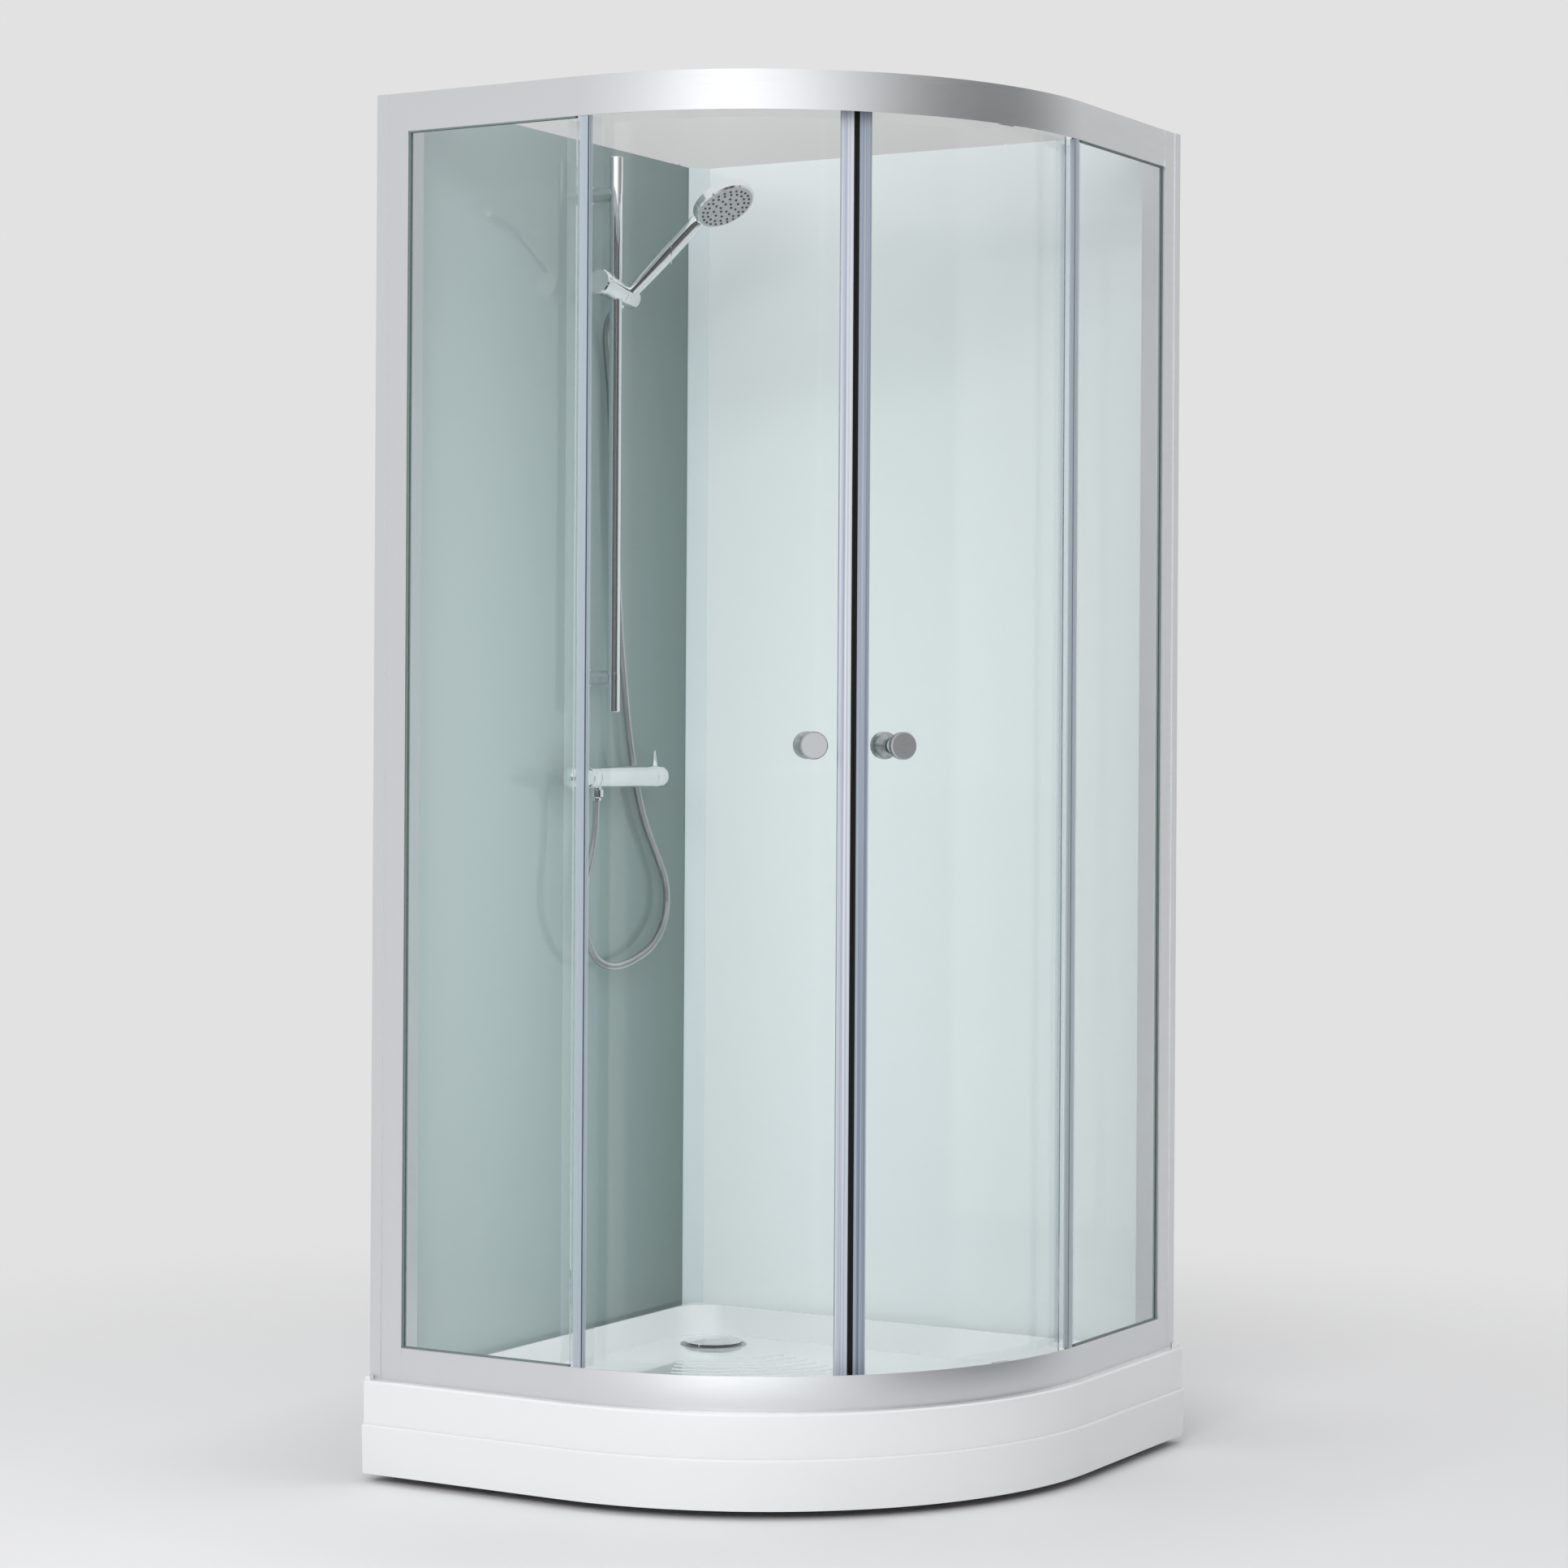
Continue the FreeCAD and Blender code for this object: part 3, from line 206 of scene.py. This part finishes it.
def clearGlass():
    material, shader = startMaterial("clearGlass", glass["pale"])
    shader.inputs["Roughness"].default_value = glass["roughness"]
    shader.inputs["Transmission Weight"].default_value = 1.0
    shader.inputs["IOR"].default_value = glass["refraction"]
    tint(material, shader, noise(material, glass["scale"]), glass["dark"], glass["pale"])
    # lamps pass the pane, so that what stands behind it is lit
    light = addNode(material, "ShaderNodeLightPath")
    clear = clearShader(material, glass["lampTint"])
    showMixed(material, light.outputs["Is Shadow Ray"], shader.outputs["BSDF"], clear)
    return material


# Rear panels, painted on the back. The teal panel is the shaded copy: its tint is the glass's own and its
# darkness is painted shade. The pale panel is the lit copy. "reach" is where, along the axis, the outer
# colour starts to change and where it has become the corner's colour. This change is painted shade on the
# teal panel, which darkens towards the corner, and painted light on the pale panel, which gets lighter
# towards it.

panels = {
    "shadedTealPanel": {
        "axis": "Y", "reach": (-0.42, 0.42), "outer": (0.52, 0.61, 0.62), "corner": (0.12, 0.19, 0.18),
    },
    "litPalePanel": {
        "axis": "X", "reach": (0.42, -0.3), "outer": (0.72, 0.77, 0.78), "corner": (0.81, 0.85, 0.86),
    },
}
panelGloss = {"roughness": (0.03, 0.06), "scale": 5.0}


def glossPanel(name):
    panel = panels[name]
    material, shader = startMaterial(name, panel["outer"])
    along = mapped(material, axes(material)[panel["axis"]], panel["reach"])
    # painted shade and light: the colour changes from the outer edge to the corner
    tint(material, shader, along, panel["outer"], panel["corner"])
    roughen(material, shader, noise(material, panelGloss["scale"]), *panelGloss["roughness"])
    return material


# Plain metals, plastics and rubbers

plain = {
    "polishedChrome": {"colour": (0.86, 0.87, 0.88), "roughness": (0.04, 0.08), "scale": 30.0, "metal": 1.0},
    "hoseChrome": {"colour": (0.52, 0.53, 0.54), "roughness": (0.04, 0.08), "scale": 30.0, "metal": 1.0},
    "brushedChrome": {"colour": (0.5, 0.51, 0.52), "roughness": (0.25, 0.36), "scale": 60.0, "metal": 1.0,
                      "stretch": (1.0, 1.0, 8.0)},
    "zincedSteel": {"colour": (0.55, 0.56, 0.57), "roughness": (0.32, 0.5), "scale": 40.0, "metal": 1.0},
    "blackRubber": {"colour": (0.006, 0.006, 0.007), "roughness": (0.45, 0.6), "scale": 80.0, "shine": 0.2},
    "gasketRubber": {"colour": (0.17, 0.23, 0.21), "roughness": (0.45, 0.6), "scale": 80.0},
    "sprayGrey": {"colour": (0.46, 0.47, 0.48), "roughness": (0.3, 0.43), "scale": 60.0},
    "whiteNylon": {"colour": (0.7, 0.7, 0.68), "roughness": (0.35, 0.48), "scale": 60.0},
    "trapWhite": {"colour": (0.75, 0.75, 0.75), "roughness": (0.4, 0.53), "scale": 60.0},
}


def plainMaterial(name):
    look = plain[name]
    material, shader = startMaterial(name, look["colour"], look.get("metal", 0.0))
    grain = noise(material, look["scale"], look.get("stretch", evenly))
    roughen(material, shader, grain, *look["roughness"])
    if "shine" in look:
        shader.inputs["Specular IOR Level"].default_value = look["shine"]
    return material


# Extruded clear plastic: "share" is how much of its own surface shows over what stands behind it

extruded = {"scale": 20.0, "stretch": (1.0, 1.0, 0.1), "behind": (0.975, 0.98, 0.985)}


def startExtruded(name, look):
    material, shader = startMaterial(name, look["colour"])
    roughen(material, shader, noise(material, extruded["scale"], extruded["stretch"]), *look["roughness"])
    return material, shader


def seeThrough(material, shader, share):
    showMixed(material, share, clearShader(material, extruded["behind"]), shader.outputs["BSDF"])


# the seal on a door's trailing edge
tailSeal = {"colour": (0.78, 0.85, 0.86), "roughness": (0.15, 0.25), "share": 0.1}


def clearSeal():
    material, shader = startExtruded("clearSeal", tailSeal)
    seeThrough(material, shader, tailSeal["share"])
    return material


# the profiles on the doors' leading edges, with painted reflection streaks along their length
reflectionStreak = {"scale": 260.0, "stretch": (1.0, 1.0, 0.002), "detail": 2.0}
edges = {
    # one clear profile in two copies: this lit one, and the darker one below, which is painted shade
    "litEdge": {
        "colour": (0.9, 0.92, 0.95), "reflectionStreaks": (0.42, 0.47, 0.6), "share": 0.75, "roughness": (0.12, 0.22),
    },
    "shadedEdge": {
        "colour": (0.5, 0.56, 0.64), "reflectionStreaks": (0.16, 0.2, 0.28), "share": 0.8, "roughness": (0.12, 0.22),
    },
}


def edgePlastic(name):
    look = edges[name]
    material, shader = startExtruded(name, look)
    reflectionStreaks = noise(material, reflectionStreak["scale"], reflectionStreak["stretch"], reflectionStreak["detail"])
    # painted reflection: light and dark streaks along the profile
    tint(material, shader, mapped(material, reflectionStreaks, noiseBand), look["reflectionStreaks"], look["colour"])
    seeThrough(material, shader, look["share"])
    return material


# The seal on a fixed pane: "line" is where the glass edge shows through it, along the pane. "clip" is how far
# out from the middle the clip begins; the fin inside it is almost clear.
fixedSeal = {
    "colour": (0.5, 0.57, 0.63), "roughness": (0.14, 0.24),
    "clip": 0.4284, "clipShare": 0.62, "finShare": 0.04,
    "line": -0.088, "lineHalf": 0.0012, "lineColour": (0.04, 0.06, 0.13),
}


def bluishSeal():
    material, shader = startExtruded("bluishSeal", fixedSeal)
    place = axes(material)
    # X against the opposite of Y, as the right seal mirrors the left one
    mirrored = calculated(material, "MULTIPLY", place["Y"], -1.0)
    along = calculated(material, "MINIMUM", place["X"], mirrored)
    out = calculated(material, "MAXIMUM", place["X"], mirrored)
    line = calculated(material, "COMPARE", along, fixedSeal["line"], fixedSeal["lineHalf"])
    tint(material, shader, line, fixedSeal["colour"], fixedSeal["lineColour"])
    onClip = calculated(material, "GREATER_THAN", out, fixedSeal["clip"])
    share = mapped(material, onClip, (0.0, 1.0), (fixedSeal["finShare"], fixedSeal["clipShare"]))
    seeThrough(material, shader, share)
    return material


finish = {
    "acrylic_white": acrylicWhite(),
    "aluminium_satin": satinAluminium(),
    "profile_white": whiteProfile(),
    "glass_clear": clearGlass(),
    # the rear panel's shaded copy, with painted shade, and its lit copy
    "panel_teal": glossPanel("shadedTealPanel"),
    "panel_pale": glossPanel("litPalePanel"),
    "chrome": plainMaterial("polishedChrome"),
    "chrome_hose": plainMaterial("hoseChrome"),
    "chrome_satin": plainMaterial("brushedChrome"),
    "spray_grey": plainMaterial("sprayGrey"),
    "rubber_black": plainMaterial("blackRubber"),
    "gasket_dark": plainMaterial("gasketRubber"),
    "seal_clear": bluishSeal(),
    "seal_tail": clearSeal(),
    # the door profiles' lit copy and their shaded copy, the darker one painted shade
    "edge_pale": edgePlastic("litEdge"),
    "edge_deep": edgePlastic("shadedEdge"),
    "steel": plainMaterial("zincedSteel"),
    "nylon": plainMaterial("whiteNylon"),
    "abs_white": plainMaterial("trapWhite"),
}
finish["chromed_plastic"] = finish["chrome"]
finish["galvanised"] = finish["steel"]
print("materials:", len(finish))


# Objects and geometry trees

def linked(name, data):
    obj = bpy.data.objects.new(name, data)
    bpy.context.collection.objects.link(obj)
    return obj


def newTree(name, sockets):
    # each socket after the geometry has a label and a kind
    tree = bpy.data.node_groups.new(name, "GeometryNodeTree")
    for label, kind in (("Geometry", "Geometry"), *sockets):
        tree.interface.new_socket(label, in_out="INPUT", socket_type="NodeSocket" + kind)
    tree.interface.new_socket("Geometry", in_out="OUTPUT", socket_type="NodeSocketGeometry")
    return tree, tree.nodes.new("NodeGroupInput"), tree.nodes.new("NodeGroupOutput")


def paintAndEnd(tree, start, end, mesh):
    # the tree's result takes the finish that its modifier names
    paint = tree.nodes.new("GeometryNodeSetMaterial")
    tree.links.new(mesh, paint.inputs["Geometry"])
    tree.links.new(start.outputs["Finish"], paint.inputs["Material"])
    tree.links.new(paint.outputs["Geometry"], end.inputs["Geometry"])
    return tree


def setInput(modifier, tree, label, value):
    for item in tree.interface.items_tree:
        if item.in_out == "INPUT" and item.name == label:
            modifier[item.identifier] = value


def grown(obj, tree, values):
    # runs a tree on an object and keeps the plain mesh
    modifier = obj.modifiers.new("build", "NODES")
    modifier.node_group = tree
    for label, value in values.items():
        setInput(modifier, tree, label, value)
    obj.update_tag()
    bpy.context.view_layer.update()
    graph = bpy.context.evaluated_depsgraph_get()
    mesh = bpy.data.meshes.new_from_object(obj.evaluated_get(graph))
    name = obj.name
    bpy.data.objects.remove(obj)
    mesh.name = name
    return linked(name, mesh)


# CAD pieces: finish and soft shading

shading = {
    "merge": 0.00002, "crease": 32.0,
    "flatFaced": (
        "foot_frame", "rear_panel_left", "rear_panel_right", "fixed_glass_left", "fixed_glass_right",
    ),
}

# pieces whose finish differs from their slot's usual one
ownFinish = {
    "rail_brackets": "aluminium_satin",
    # the right door's profile takes the darker copy, painted shade
    "door_profile_left": "edge_pale", "door_profile_right": "edge_deep",
    "trailing_seal_left": "seal_tail", "trailing_seal_right": "seal_tail",
    "door_knob_left": "chrome_satin", "door_knob_right": "chrome_satin",
}


def smoothTree():
    # merges the loose triangles and shades them smooth up to a set angle
    tree, start, end = newTree("softShading", [("Crease", "Float")])
    add, link = tree.nodes.new, tree.links.new
    merge = add("GeometryNodeMergeByDistance")
    merge.inputs["Distance"].default_value = shading["merge"]
    faces = add("GeometryNodeSetShadeSmooth")
    sharpEdges = add("GeometryNodeSetShadeSmooth")
    sharpEdges.domain = "EDGE"
    sharpEdges.inputs["Shade Smooth"].default_value = False
    angle = add("GeometryNodeInputMeshEdgeAngle")
    sharper = add("FunctionNodeCompare")
    link(start.outputs["Geometry"], merge.inputs["Geometry"])
    link(merge.outputs["Geometry"], faces.inputs["Geometry"])
    link(faces.outputs["Geometry"], sharpEdges.inputs["Geometry"])
    link(angle.outputs["Unsigned Angle"], sharper.inputs[0])
    link(start.outputs["Crease"], sharper.inputs[1])
    link(sharper.outputs["Result"], sharpEdges.inputs["Selection"])
    link(sharpEdges.outputs["Geometry"], end.inputs["Geometry"])
    return tree


softShading = smoothTree()


def dressNode(name, slotName):
    piece = nodes[name]
    piece.data.materials.clear()
    piece.data.materials.append(finish[slotName])
    if name in shading["flatFaced"]:
        return
    modifier = piece.modifiers.new("softShading", "NODES")
    modifier.node_group = softShading
    setInput(modifier, softShading, "Crease", math.radians(shading["crease"]))


for part in frame["record"]["subparts"]:
    dressNode(part["node"], ownFinish.get(part["node"], part["material_slot"]))
print("CAD nodes dressed")


# Hose

hose = {
    "radius": 0.0065, "core": 0.0052, "wire": 0.0014, "pitch": 0.0037, "ringSides": 16, "wireSides": 6,
    "order": 3, "steps": 12,  # of the smooth curve that follows the route
    "route": [
        (-0.3955, 0.068, 1.0039), (-0.3955, 0.068, 0.952), (-0.400, 0.054, 0.898), (-0.403, 0.043, 0.844),
        (-0.406, 0.054, 0.790), (-0.410, 0.088, 0.748), (-0.413, 0.140, 0.732), (-0.416, 0.194, 0.735),
        (-0.419, 0.248, 0.748), (-0.422, 0.298, 0.770), (-0.426, 0.333, 0.811), (-0.428, 0.334, 0.865),
        (-0.430, 0.305, 0.911), (-0.431, 0.273, 0.956), (-0.431, 0.250, 1.006), (-0.431, 0.233, 1.058),
        (-0.432, 0.217, 1.131), (-0.432, 0.204, 1.205), (-0.433, 0.194, 1.279), (-0.433, 0.184, 1.384),
        (-0.434, 0.176, 1.488), (-0.434, 0.168, 1.593), (-0.435, 0.160, 1.690), (-0.4351, 0.1431, 1.7795),
        (-0.4167, 0.1466, 1.7976),
    ],
}

# Each stretch ends at one of the route's points and lists a first body, a second body and two heights,
# between which it would change from following the first to following the second; the pieces built here don't
# follow a body. The loop's heights lie far above and far below its middle, for a loop that hangs half as far
# down as the slider goes, so that the hose keeps its length.
loopMiddle, farAway = 0.79, 100.0
stretches = [
    {"name": "hose_drop", "end": 4, "bodies": ("enclosure", "slider"), "heights": (1.0, 0.58)},
    {"name": "hose_loop", "end": 15, "bodies": ("enclosure", "slider"),
     "heights": (loopMiddle + farAway, loopMiddle - farAway)},
    {"name": "hose_rise", "end": 22, "bodies": ("enclosure", "slider"), "heights": (0.426, 1.69)},
    {"name": "hose_top", "end": 24, "bodies": ("slider", "handset_arm"), "heights": (1.774, 1.8)},
]


def curveObject(name, kind, points):
    curve = bpy.data.curves.new(name, "CURVE")
    curve.dimensions = "3D"
    spline = curve.splines.new(kind)
    spline.points.add(len(points) - 1)
    for point, place in zip(spline.points, points):
        point.co = (*place, 1.0)
    return linked(name, curve), spline


def smoothRoute():
    # points along the smooth curve, which ends at the route's two ends
    holder, spline = curveObject("hoseRoute", "NURBS", hose["route"])
    spline.resolution_u = hose["steps"]
    spline.order_u = hose["order"]
    spline.use_endpoint_u = True
    bpy.context.view_layer.update()
    mesh = bpy.data.meshes.new_from_object(holder)
    found = [vertex.co.copy() for vertex in mesh.vertices]
    bpy.data.objects.remove(holder)
    bpy.data.meshes.remove(mesh)
    return found


def hoseTree():
    tree, start, end = newTree("ribbedHose", [("Core", "Float"), ("Ring", "Float"), ("Wire", "Float"),
                                              ("Pitch", "Float"), ("Finish", "Material")])
    add, link = tree.nodes.new, tree.links.new

    def tube(path, label, sides):
        # sweeps a circle of the named radius along the path
        circle = add("GeometryNodeCurvePrimitiveCircle")
        circle.inputs["Resolution"].default_value = sides
        link(start.outputs[label], circle.inputs["Radius"])
        sweep = add("GeometryNodeCurveToMesh")
        link(path, sweep.inputs["Curve"])
        link(circle.outputs["Curve"], sweep.inputs["Profile Curve"])
        return sweep

    resample = add("GeometryNodeResampleCurve")
    resample.mode = "LENGTH"
    link(start.outputs["Geometry"], resample.inputs["Curve"])
    link(start.outputs["Pitch"], resample.inputs["Length"])
    # smooth core under the ribs
    core = tube(resample.outputs["Curve"], "Core", hose["ringSides"])
    core.inputs["Fill Caps"].default_value = True
    # one rib, a closed ring of round wire
    ring = add("GeometryNodeCurvePrimitiveCircle")
    ring.inputs["Resolution"].default_value = hose["ringSides"]
    link(start.outputs["Ring"], ring.inputs["Radius"])
    rib = tube(ring.outputs["Curve"], "Wire", hose["wireSides"])
    tangent = add("GeometryNodeInputTangent")
    turn = add("FunctionNodeAlignRotationToVector")
    turn.axis = "Z"
    link(tangent.outputs["Tangent"], turn.inputs["Vector"])
    place = add("GeometryNodeInstanceOnPoints")
    link(resample.outputs["Curve"], place.inputs["Points"])
    link(rib.outputs["Mesh"], place.inputs["Instance"])
    link(turn.outputs["Rotation"], place.inputs["Rotation"])
    together = add("GeometryNodeJoinGeometry")
    link(core.outputs["Mesh"], together.inputs["Geometry"])
    link(place.outputs["Instances"], together.inputs["Geometry"])
    realize = add("GeometryNodeRealizeInstances")
    smooth = add("GeometryNodeSetShadeSmooth")
    link(together.outputs["Geometry"], realize.inputs["Geometry"])
    link(realize.outputs["Geometry"], smooth.inputs["Geometry"])
    return paintAndEnd(tree, start, end, smooth.outputs["Geometry"])


ribbedHose = hoseTree()


def hosePiece(name, points):
    holder = curveObject(name, "POLY", points)[0]
    return grown(holder, ribbedHose, {
        "Core": hose["core"], "Ring": hose["radius"] - hose["wire"], "Wire": hose["wire"],
        "Pitch": hose["pitch"], "Finish": finish["chrome_hose"]})


def pathLength(points):
    return sum((b - a).length for a, b in zip(points, points[1:]))


def nearestIndex(points, place):
    return min(range(len(points)), key=lambda i: (points[i] - Vector(place)).length)


def makeHose():
    line = smoothRoute()
    begin, made = 0, []
    for stretch in stretches:
        end = nearestIndex(line, hose["route"][stretch["end"]])
        points = line[begin:end + 1]
        piece = hosePiece(stretch["name"], points)
        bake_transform(piece)
        made.append((piece, points))
        begin = end
    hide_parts("shower_hose")
    top = made.pop()[0]
    print("hose:", round(pathLength(line), 3), "m")


makeHose()


# Spray nozzles. The handset's own sizes place them: slider, lean of the holder, drum, handle and head.

spray = {
    "slider": (-0.3955, 0.1165, 1.825), "lean": -11.0, "drum": 0.0348, "handlePitch": 45.0, "handle": 0.172,
    "headPitch": 33.5, "headReach": 0.05, "headDrop": 0.011, "foot": -0.0004,
    "radius": 0.0023, "tall": 0.003, "taper": 0.8, "sides": 10,
    "rings": ((0.010, 6), (0.021, 10), (0.032, 18), (0.040, 24)),  # radius of a ring and how many stand on it
}


def nozzleTree():
    tree, start, end = newTree("nozzles", [("Radius", "Float"), ("Tall", "Float"), ("Turn", "Rotation"),
                                           ("Finish", "Material")])
    add, link = tree.nodes.new, tree.links.new
    cone = add("GeometryNodeMeshCone")
    cone.inputs["Vertices"].default_value = spray["sides"]
    narrow = add("ShaderNodeMath")
    narrow.operation = "MULTIPLY"
    narrow.inputs[1].default_value = spray["taper"]
    place = add("GeometryNodeInstanceOnPoints")
    realize = add("GeometryNodeRealizeInstances")
    link(start.outputs["Radius"], cone.inputs["Radius Bottom"])
    link(start.outputs["Radius"], narrow.inputs[0])
    link(narrow.outputs["Value"], cone.inputs["Radius Top"])
    link(start.outputs["Tall"], cone.inputs["Depth"])
    link(start.outputs["Geometry"], place.inputs["Points"])
    link(cone.outputs["Mesh"], place.inputs["Instance"])
    link(start.outputs["Turn"], place.inputs["Rotation"])
    link(place.outputs["Instances"], realize.inputs["Geometry"])
    return paintAndEnd(tree, start, end, realize.outputs["Geometry"])


def pitched(degrees):
    return Vector((math.cos(math.radians(degrees)), 0.0, math.sin(math.radians(degrees))))


def makeNozzles():
    pivot = Vector(spray["slider"])
    turn = Matrix.Rotation(math.radians(spray["lean"]), 4, "X")
    lean = Matrix.Translation(pivot) @ turn @ Matrix.Translation(-pivot)
    along, out = pitched(spray["headPitch"]), pitched(spray["headPitch"] - 90.0)
    side = Vector((0.0, 1.0, 0.0))
    head = (pivot + side * spray["drum"] + pitched(spray["handlePitch"]) * spray["handle"]
            + along * spray["headReach"] + out * (spray["headDrop"] + spray["foot"]))
    places = []
    for radius, count in spray["rings"]:
        for i in range(count):
            angle = 2 * math.pi * i / count
            places.append(lean @ (head + along * radius * math.cos(angle) + side * radius * math.sin(angle)))
    mesh = bpy.data.meshes.new("nozzle_tips")
    mesh.from_pydata(places, [], [])
    facing = (lean.to_3x3() @ out).to_track_quat("Z", "Y").to_euler()
    tips = grown(linked("nozzle_tips", mesh), nozzleTree(), {
        "Radius": spray["radius"], "Tall": spray["tall"], "Turn": facing, "Finish": finish["rubber_black"]})
    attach(tips, "handset_arm")
    print("nozzles:", len(places))


makeNozzles()


# Floor, room, lamps and camera

floor = {"size": 12.0, "fade": (1.1, 2.6), "colour": (0.72, 0.72, 0.73), "roughness": 0.6}


def makeFloor():
    # pale floor that fades into the background in a circle
    size = floor["size"]
    corners = [(-size, -size, 0), (size, -size, 0), (size, size, 0), (-size, size, 0)]
    mesh = bpy.data.meshes.new("paleFloor")
    mesh.from_pydata(corners, [], [(0, 1, 2, 3)])
    obj = linked("paleFloor", mesh)
    material, shader = startMaterial("paleFloor", floor["colour"])
    shader.inputs["Roughness"].default_value = floor["roughness"]
    mesh.materials.append(material)
    place = addNode(material, "ShaderNodeTexCoord")
    reach = addNode(material, "ShaderNodeVectorMath", operation="LENGTH")
    feed(material, reach.inputs[0], place.outputs["Object"])
    faded = mapped(material, reach.outputs["Value"], floor["fade"], interpolation_type="SMOOTHSTEP")
    showMixed(material, faded, shader.outputs["BSDF"], clearShader(material))


room = {
    "seen": 0.76, "fill": 0.64, "ceiling": 0.8, "ceilingRise": (0.35, 0.7),
    # brightness by compass direction, as a share of the turn from -X anticlockwise
    "mirrored": (
        (0.0, 0.6), (0.167, 0.8), (0.236, 1.0), (0.294, 1.7), (0.347, 1.3), (0.389, 1.0), (0.458, 0.42),
        (0.5, 0.27), (0.583, 0.22), (0.667, 0.76), (0.75, 0.76), (1.0, 0.6),
    ),
    # the same for what is seen through glass; its dark side gives the chrome behind it its black cores
    "inner": 1.0, "innerRise": (0.14, 0.24),
    "through": (
        (0.0, 0.56), (0.172, 0.56), (0.18, 1.0), (0.198, 1.0), (0.206, 0.01), (0.384, 0.01), (0.387, 0.5),
        (0.392, 0.5), (0.395, 0.01), (0.52, 0.01), (0.535, 0.56), (1.0, 0.56),
    ),
}


def makeWorld():
    world = bpy.data.worlds.new("softRoom")
    bpy.context.scene.world = world
    world.use_nodes = True
    world.node_tree.nodes.clear()

    def blend(share, first, second):
        mix = addNode(world, "ShaderNodeMix", data_type="RGBA")
        feed(world, mix.inputs[0], share)
        for socket, value in ((mix.inputs[6], first), (mix.inputs[7], second)):
            feed(world, socket, (value, value, value, 1.0) if isinstance(value, float) else value)
        return mix.outputs[2]

    def ring(share, stops):
        ramp = addNode(world, "ShaderNodeValToRGB")
        elements = ramp.color_ramp.elements
        elements[0].position, elements[1].position = stops[0][0], stops[-1][0]
        for position, value in stops[1:-1]:
            elements.new(position)
        for element, (position, value) in zip(elements, stops):
            element.color = (value, value, value, 1.0)
        feed(world, ramp.inputs["Fac"], share)
        return ramp.outputs["Color"]

    place = axes(world, "Generated")
    turn = calculated(world, "ARCTAN2", place["Y"], place["X"])
    share = mapped(world, turn, (-math.pi, math.pi))
    up = mapped(world, place["Z"], room["ceilingRise"], interpolation_type="SMOOTHSTEP")
    innerUp = mapped(world, place["Z"], room["innerRise"], interpolation_type="SMOOTHSTEP")
    rays = addNode(world, "ShaderNodeLightPath")
    mirrored = blend(up, ring(share, room["mirrored"]), room["ceiling"])
    through = blend(innerUp, ring(share, room["through"]), room["inner"])
    around = blend(rays.outputs["Is Transmission Ray"], mirrored, through)
    sharp = calculated(world, "MAXIMUM", rays.outputs["Is Glossy Ray"], rays.outputs["Is Transmission Ray"])
    colour = blend(sharp, room["fill"], around)
    colour = blend(rays.outputs["Is Camera Ray"], colour, room["seen"])
    back = addNode(world, "ShaderNodeBackground")
    out = addNode(world, "ShaderNodeOutputWorld")
    feed(world, back.inputs["Color"], colour)
    feed(world, out.inputs["Surface"], back.outputs["Background"])


# the cabin lamp stands inside and lights the left panel, the riser and the mixer
lamps = {
    "front": {"place": (1.2, -4.2, 2.6), "aim": (0.0, 0.0, 1.0), "wide": 2.2, "tall": 2.2, "power": 100.0},
    "left": {"place": (-2.6, -3.2, 2.4), "aim": (0.0, 0.0, 1.0), "wide": 1.8, "tall": 1.8, "power": 14.0},
    "above": {"place": (0.0, 0.0, 6.0), "aim": (0.0, 0.01, 0.0), "wide": 1.0, "tall": 1.0, "power": 84.0},
    "cabin": {"place": (0.2, -0.2, 1.05), "aim": (-0.44, 0.15, 1.05), "wide": 0.4, "tall": 1.5, "power": 3.2},
}


def makeLamps():
    for name, lamp in lamps.items():
        data = bpy.data.lights.new(name + "Lamp", "AREA")
        data.shape = "RECTANGLE"
        data.size = lamp["wide"]
        data.size_y = lamp["tall"]
        data.energy = lamp["power"]
        obj = linked(name + "Lamp", data)
        obj.visible_camera = False
        obj.visible_glossy = False
        obj.visible_transmission = False
        obj.location = lamp["place"]
        aim = Vector(lamp["aim"]) - Vector(lamp["place"])
        obj.rotation_euler = aim.to_track_quat("-Z", "Y").to_euler()


viewpoint = {
    "place": (2.8301, -4.9020, 1.1386), "pitch": math.pi / 2, "roll": -0.006, "yaw": 0.526, "lens": 84.9,
    "sensor": 36.0, "shift": (0.0023, -0.0424),
}


def makeCamera():
    data = bpy.data.cameras.new("photoView")
    data.sensor_width = viewpoint["sensor"]
    data.lens = viewpoint["lens"]
    data.shift_x, data.shift_y = viewpoint["shift"]
    camera = linked("photoView", data)
    camera.location = viewpoint["place"]
    camera.rotation_mode = "XYZ"
    camera.rotation_euler = (viewpoint["pitch"], viewpoint["roll"], viewpoint["yaw"])
    bpy.context.scene.camera = camera


makeFloor()
makeWorld()
makeLamps()
makeCamera()
bpy.context.scene.view_settings.view_transform = "Standard"
print("room, lamps and camera set")
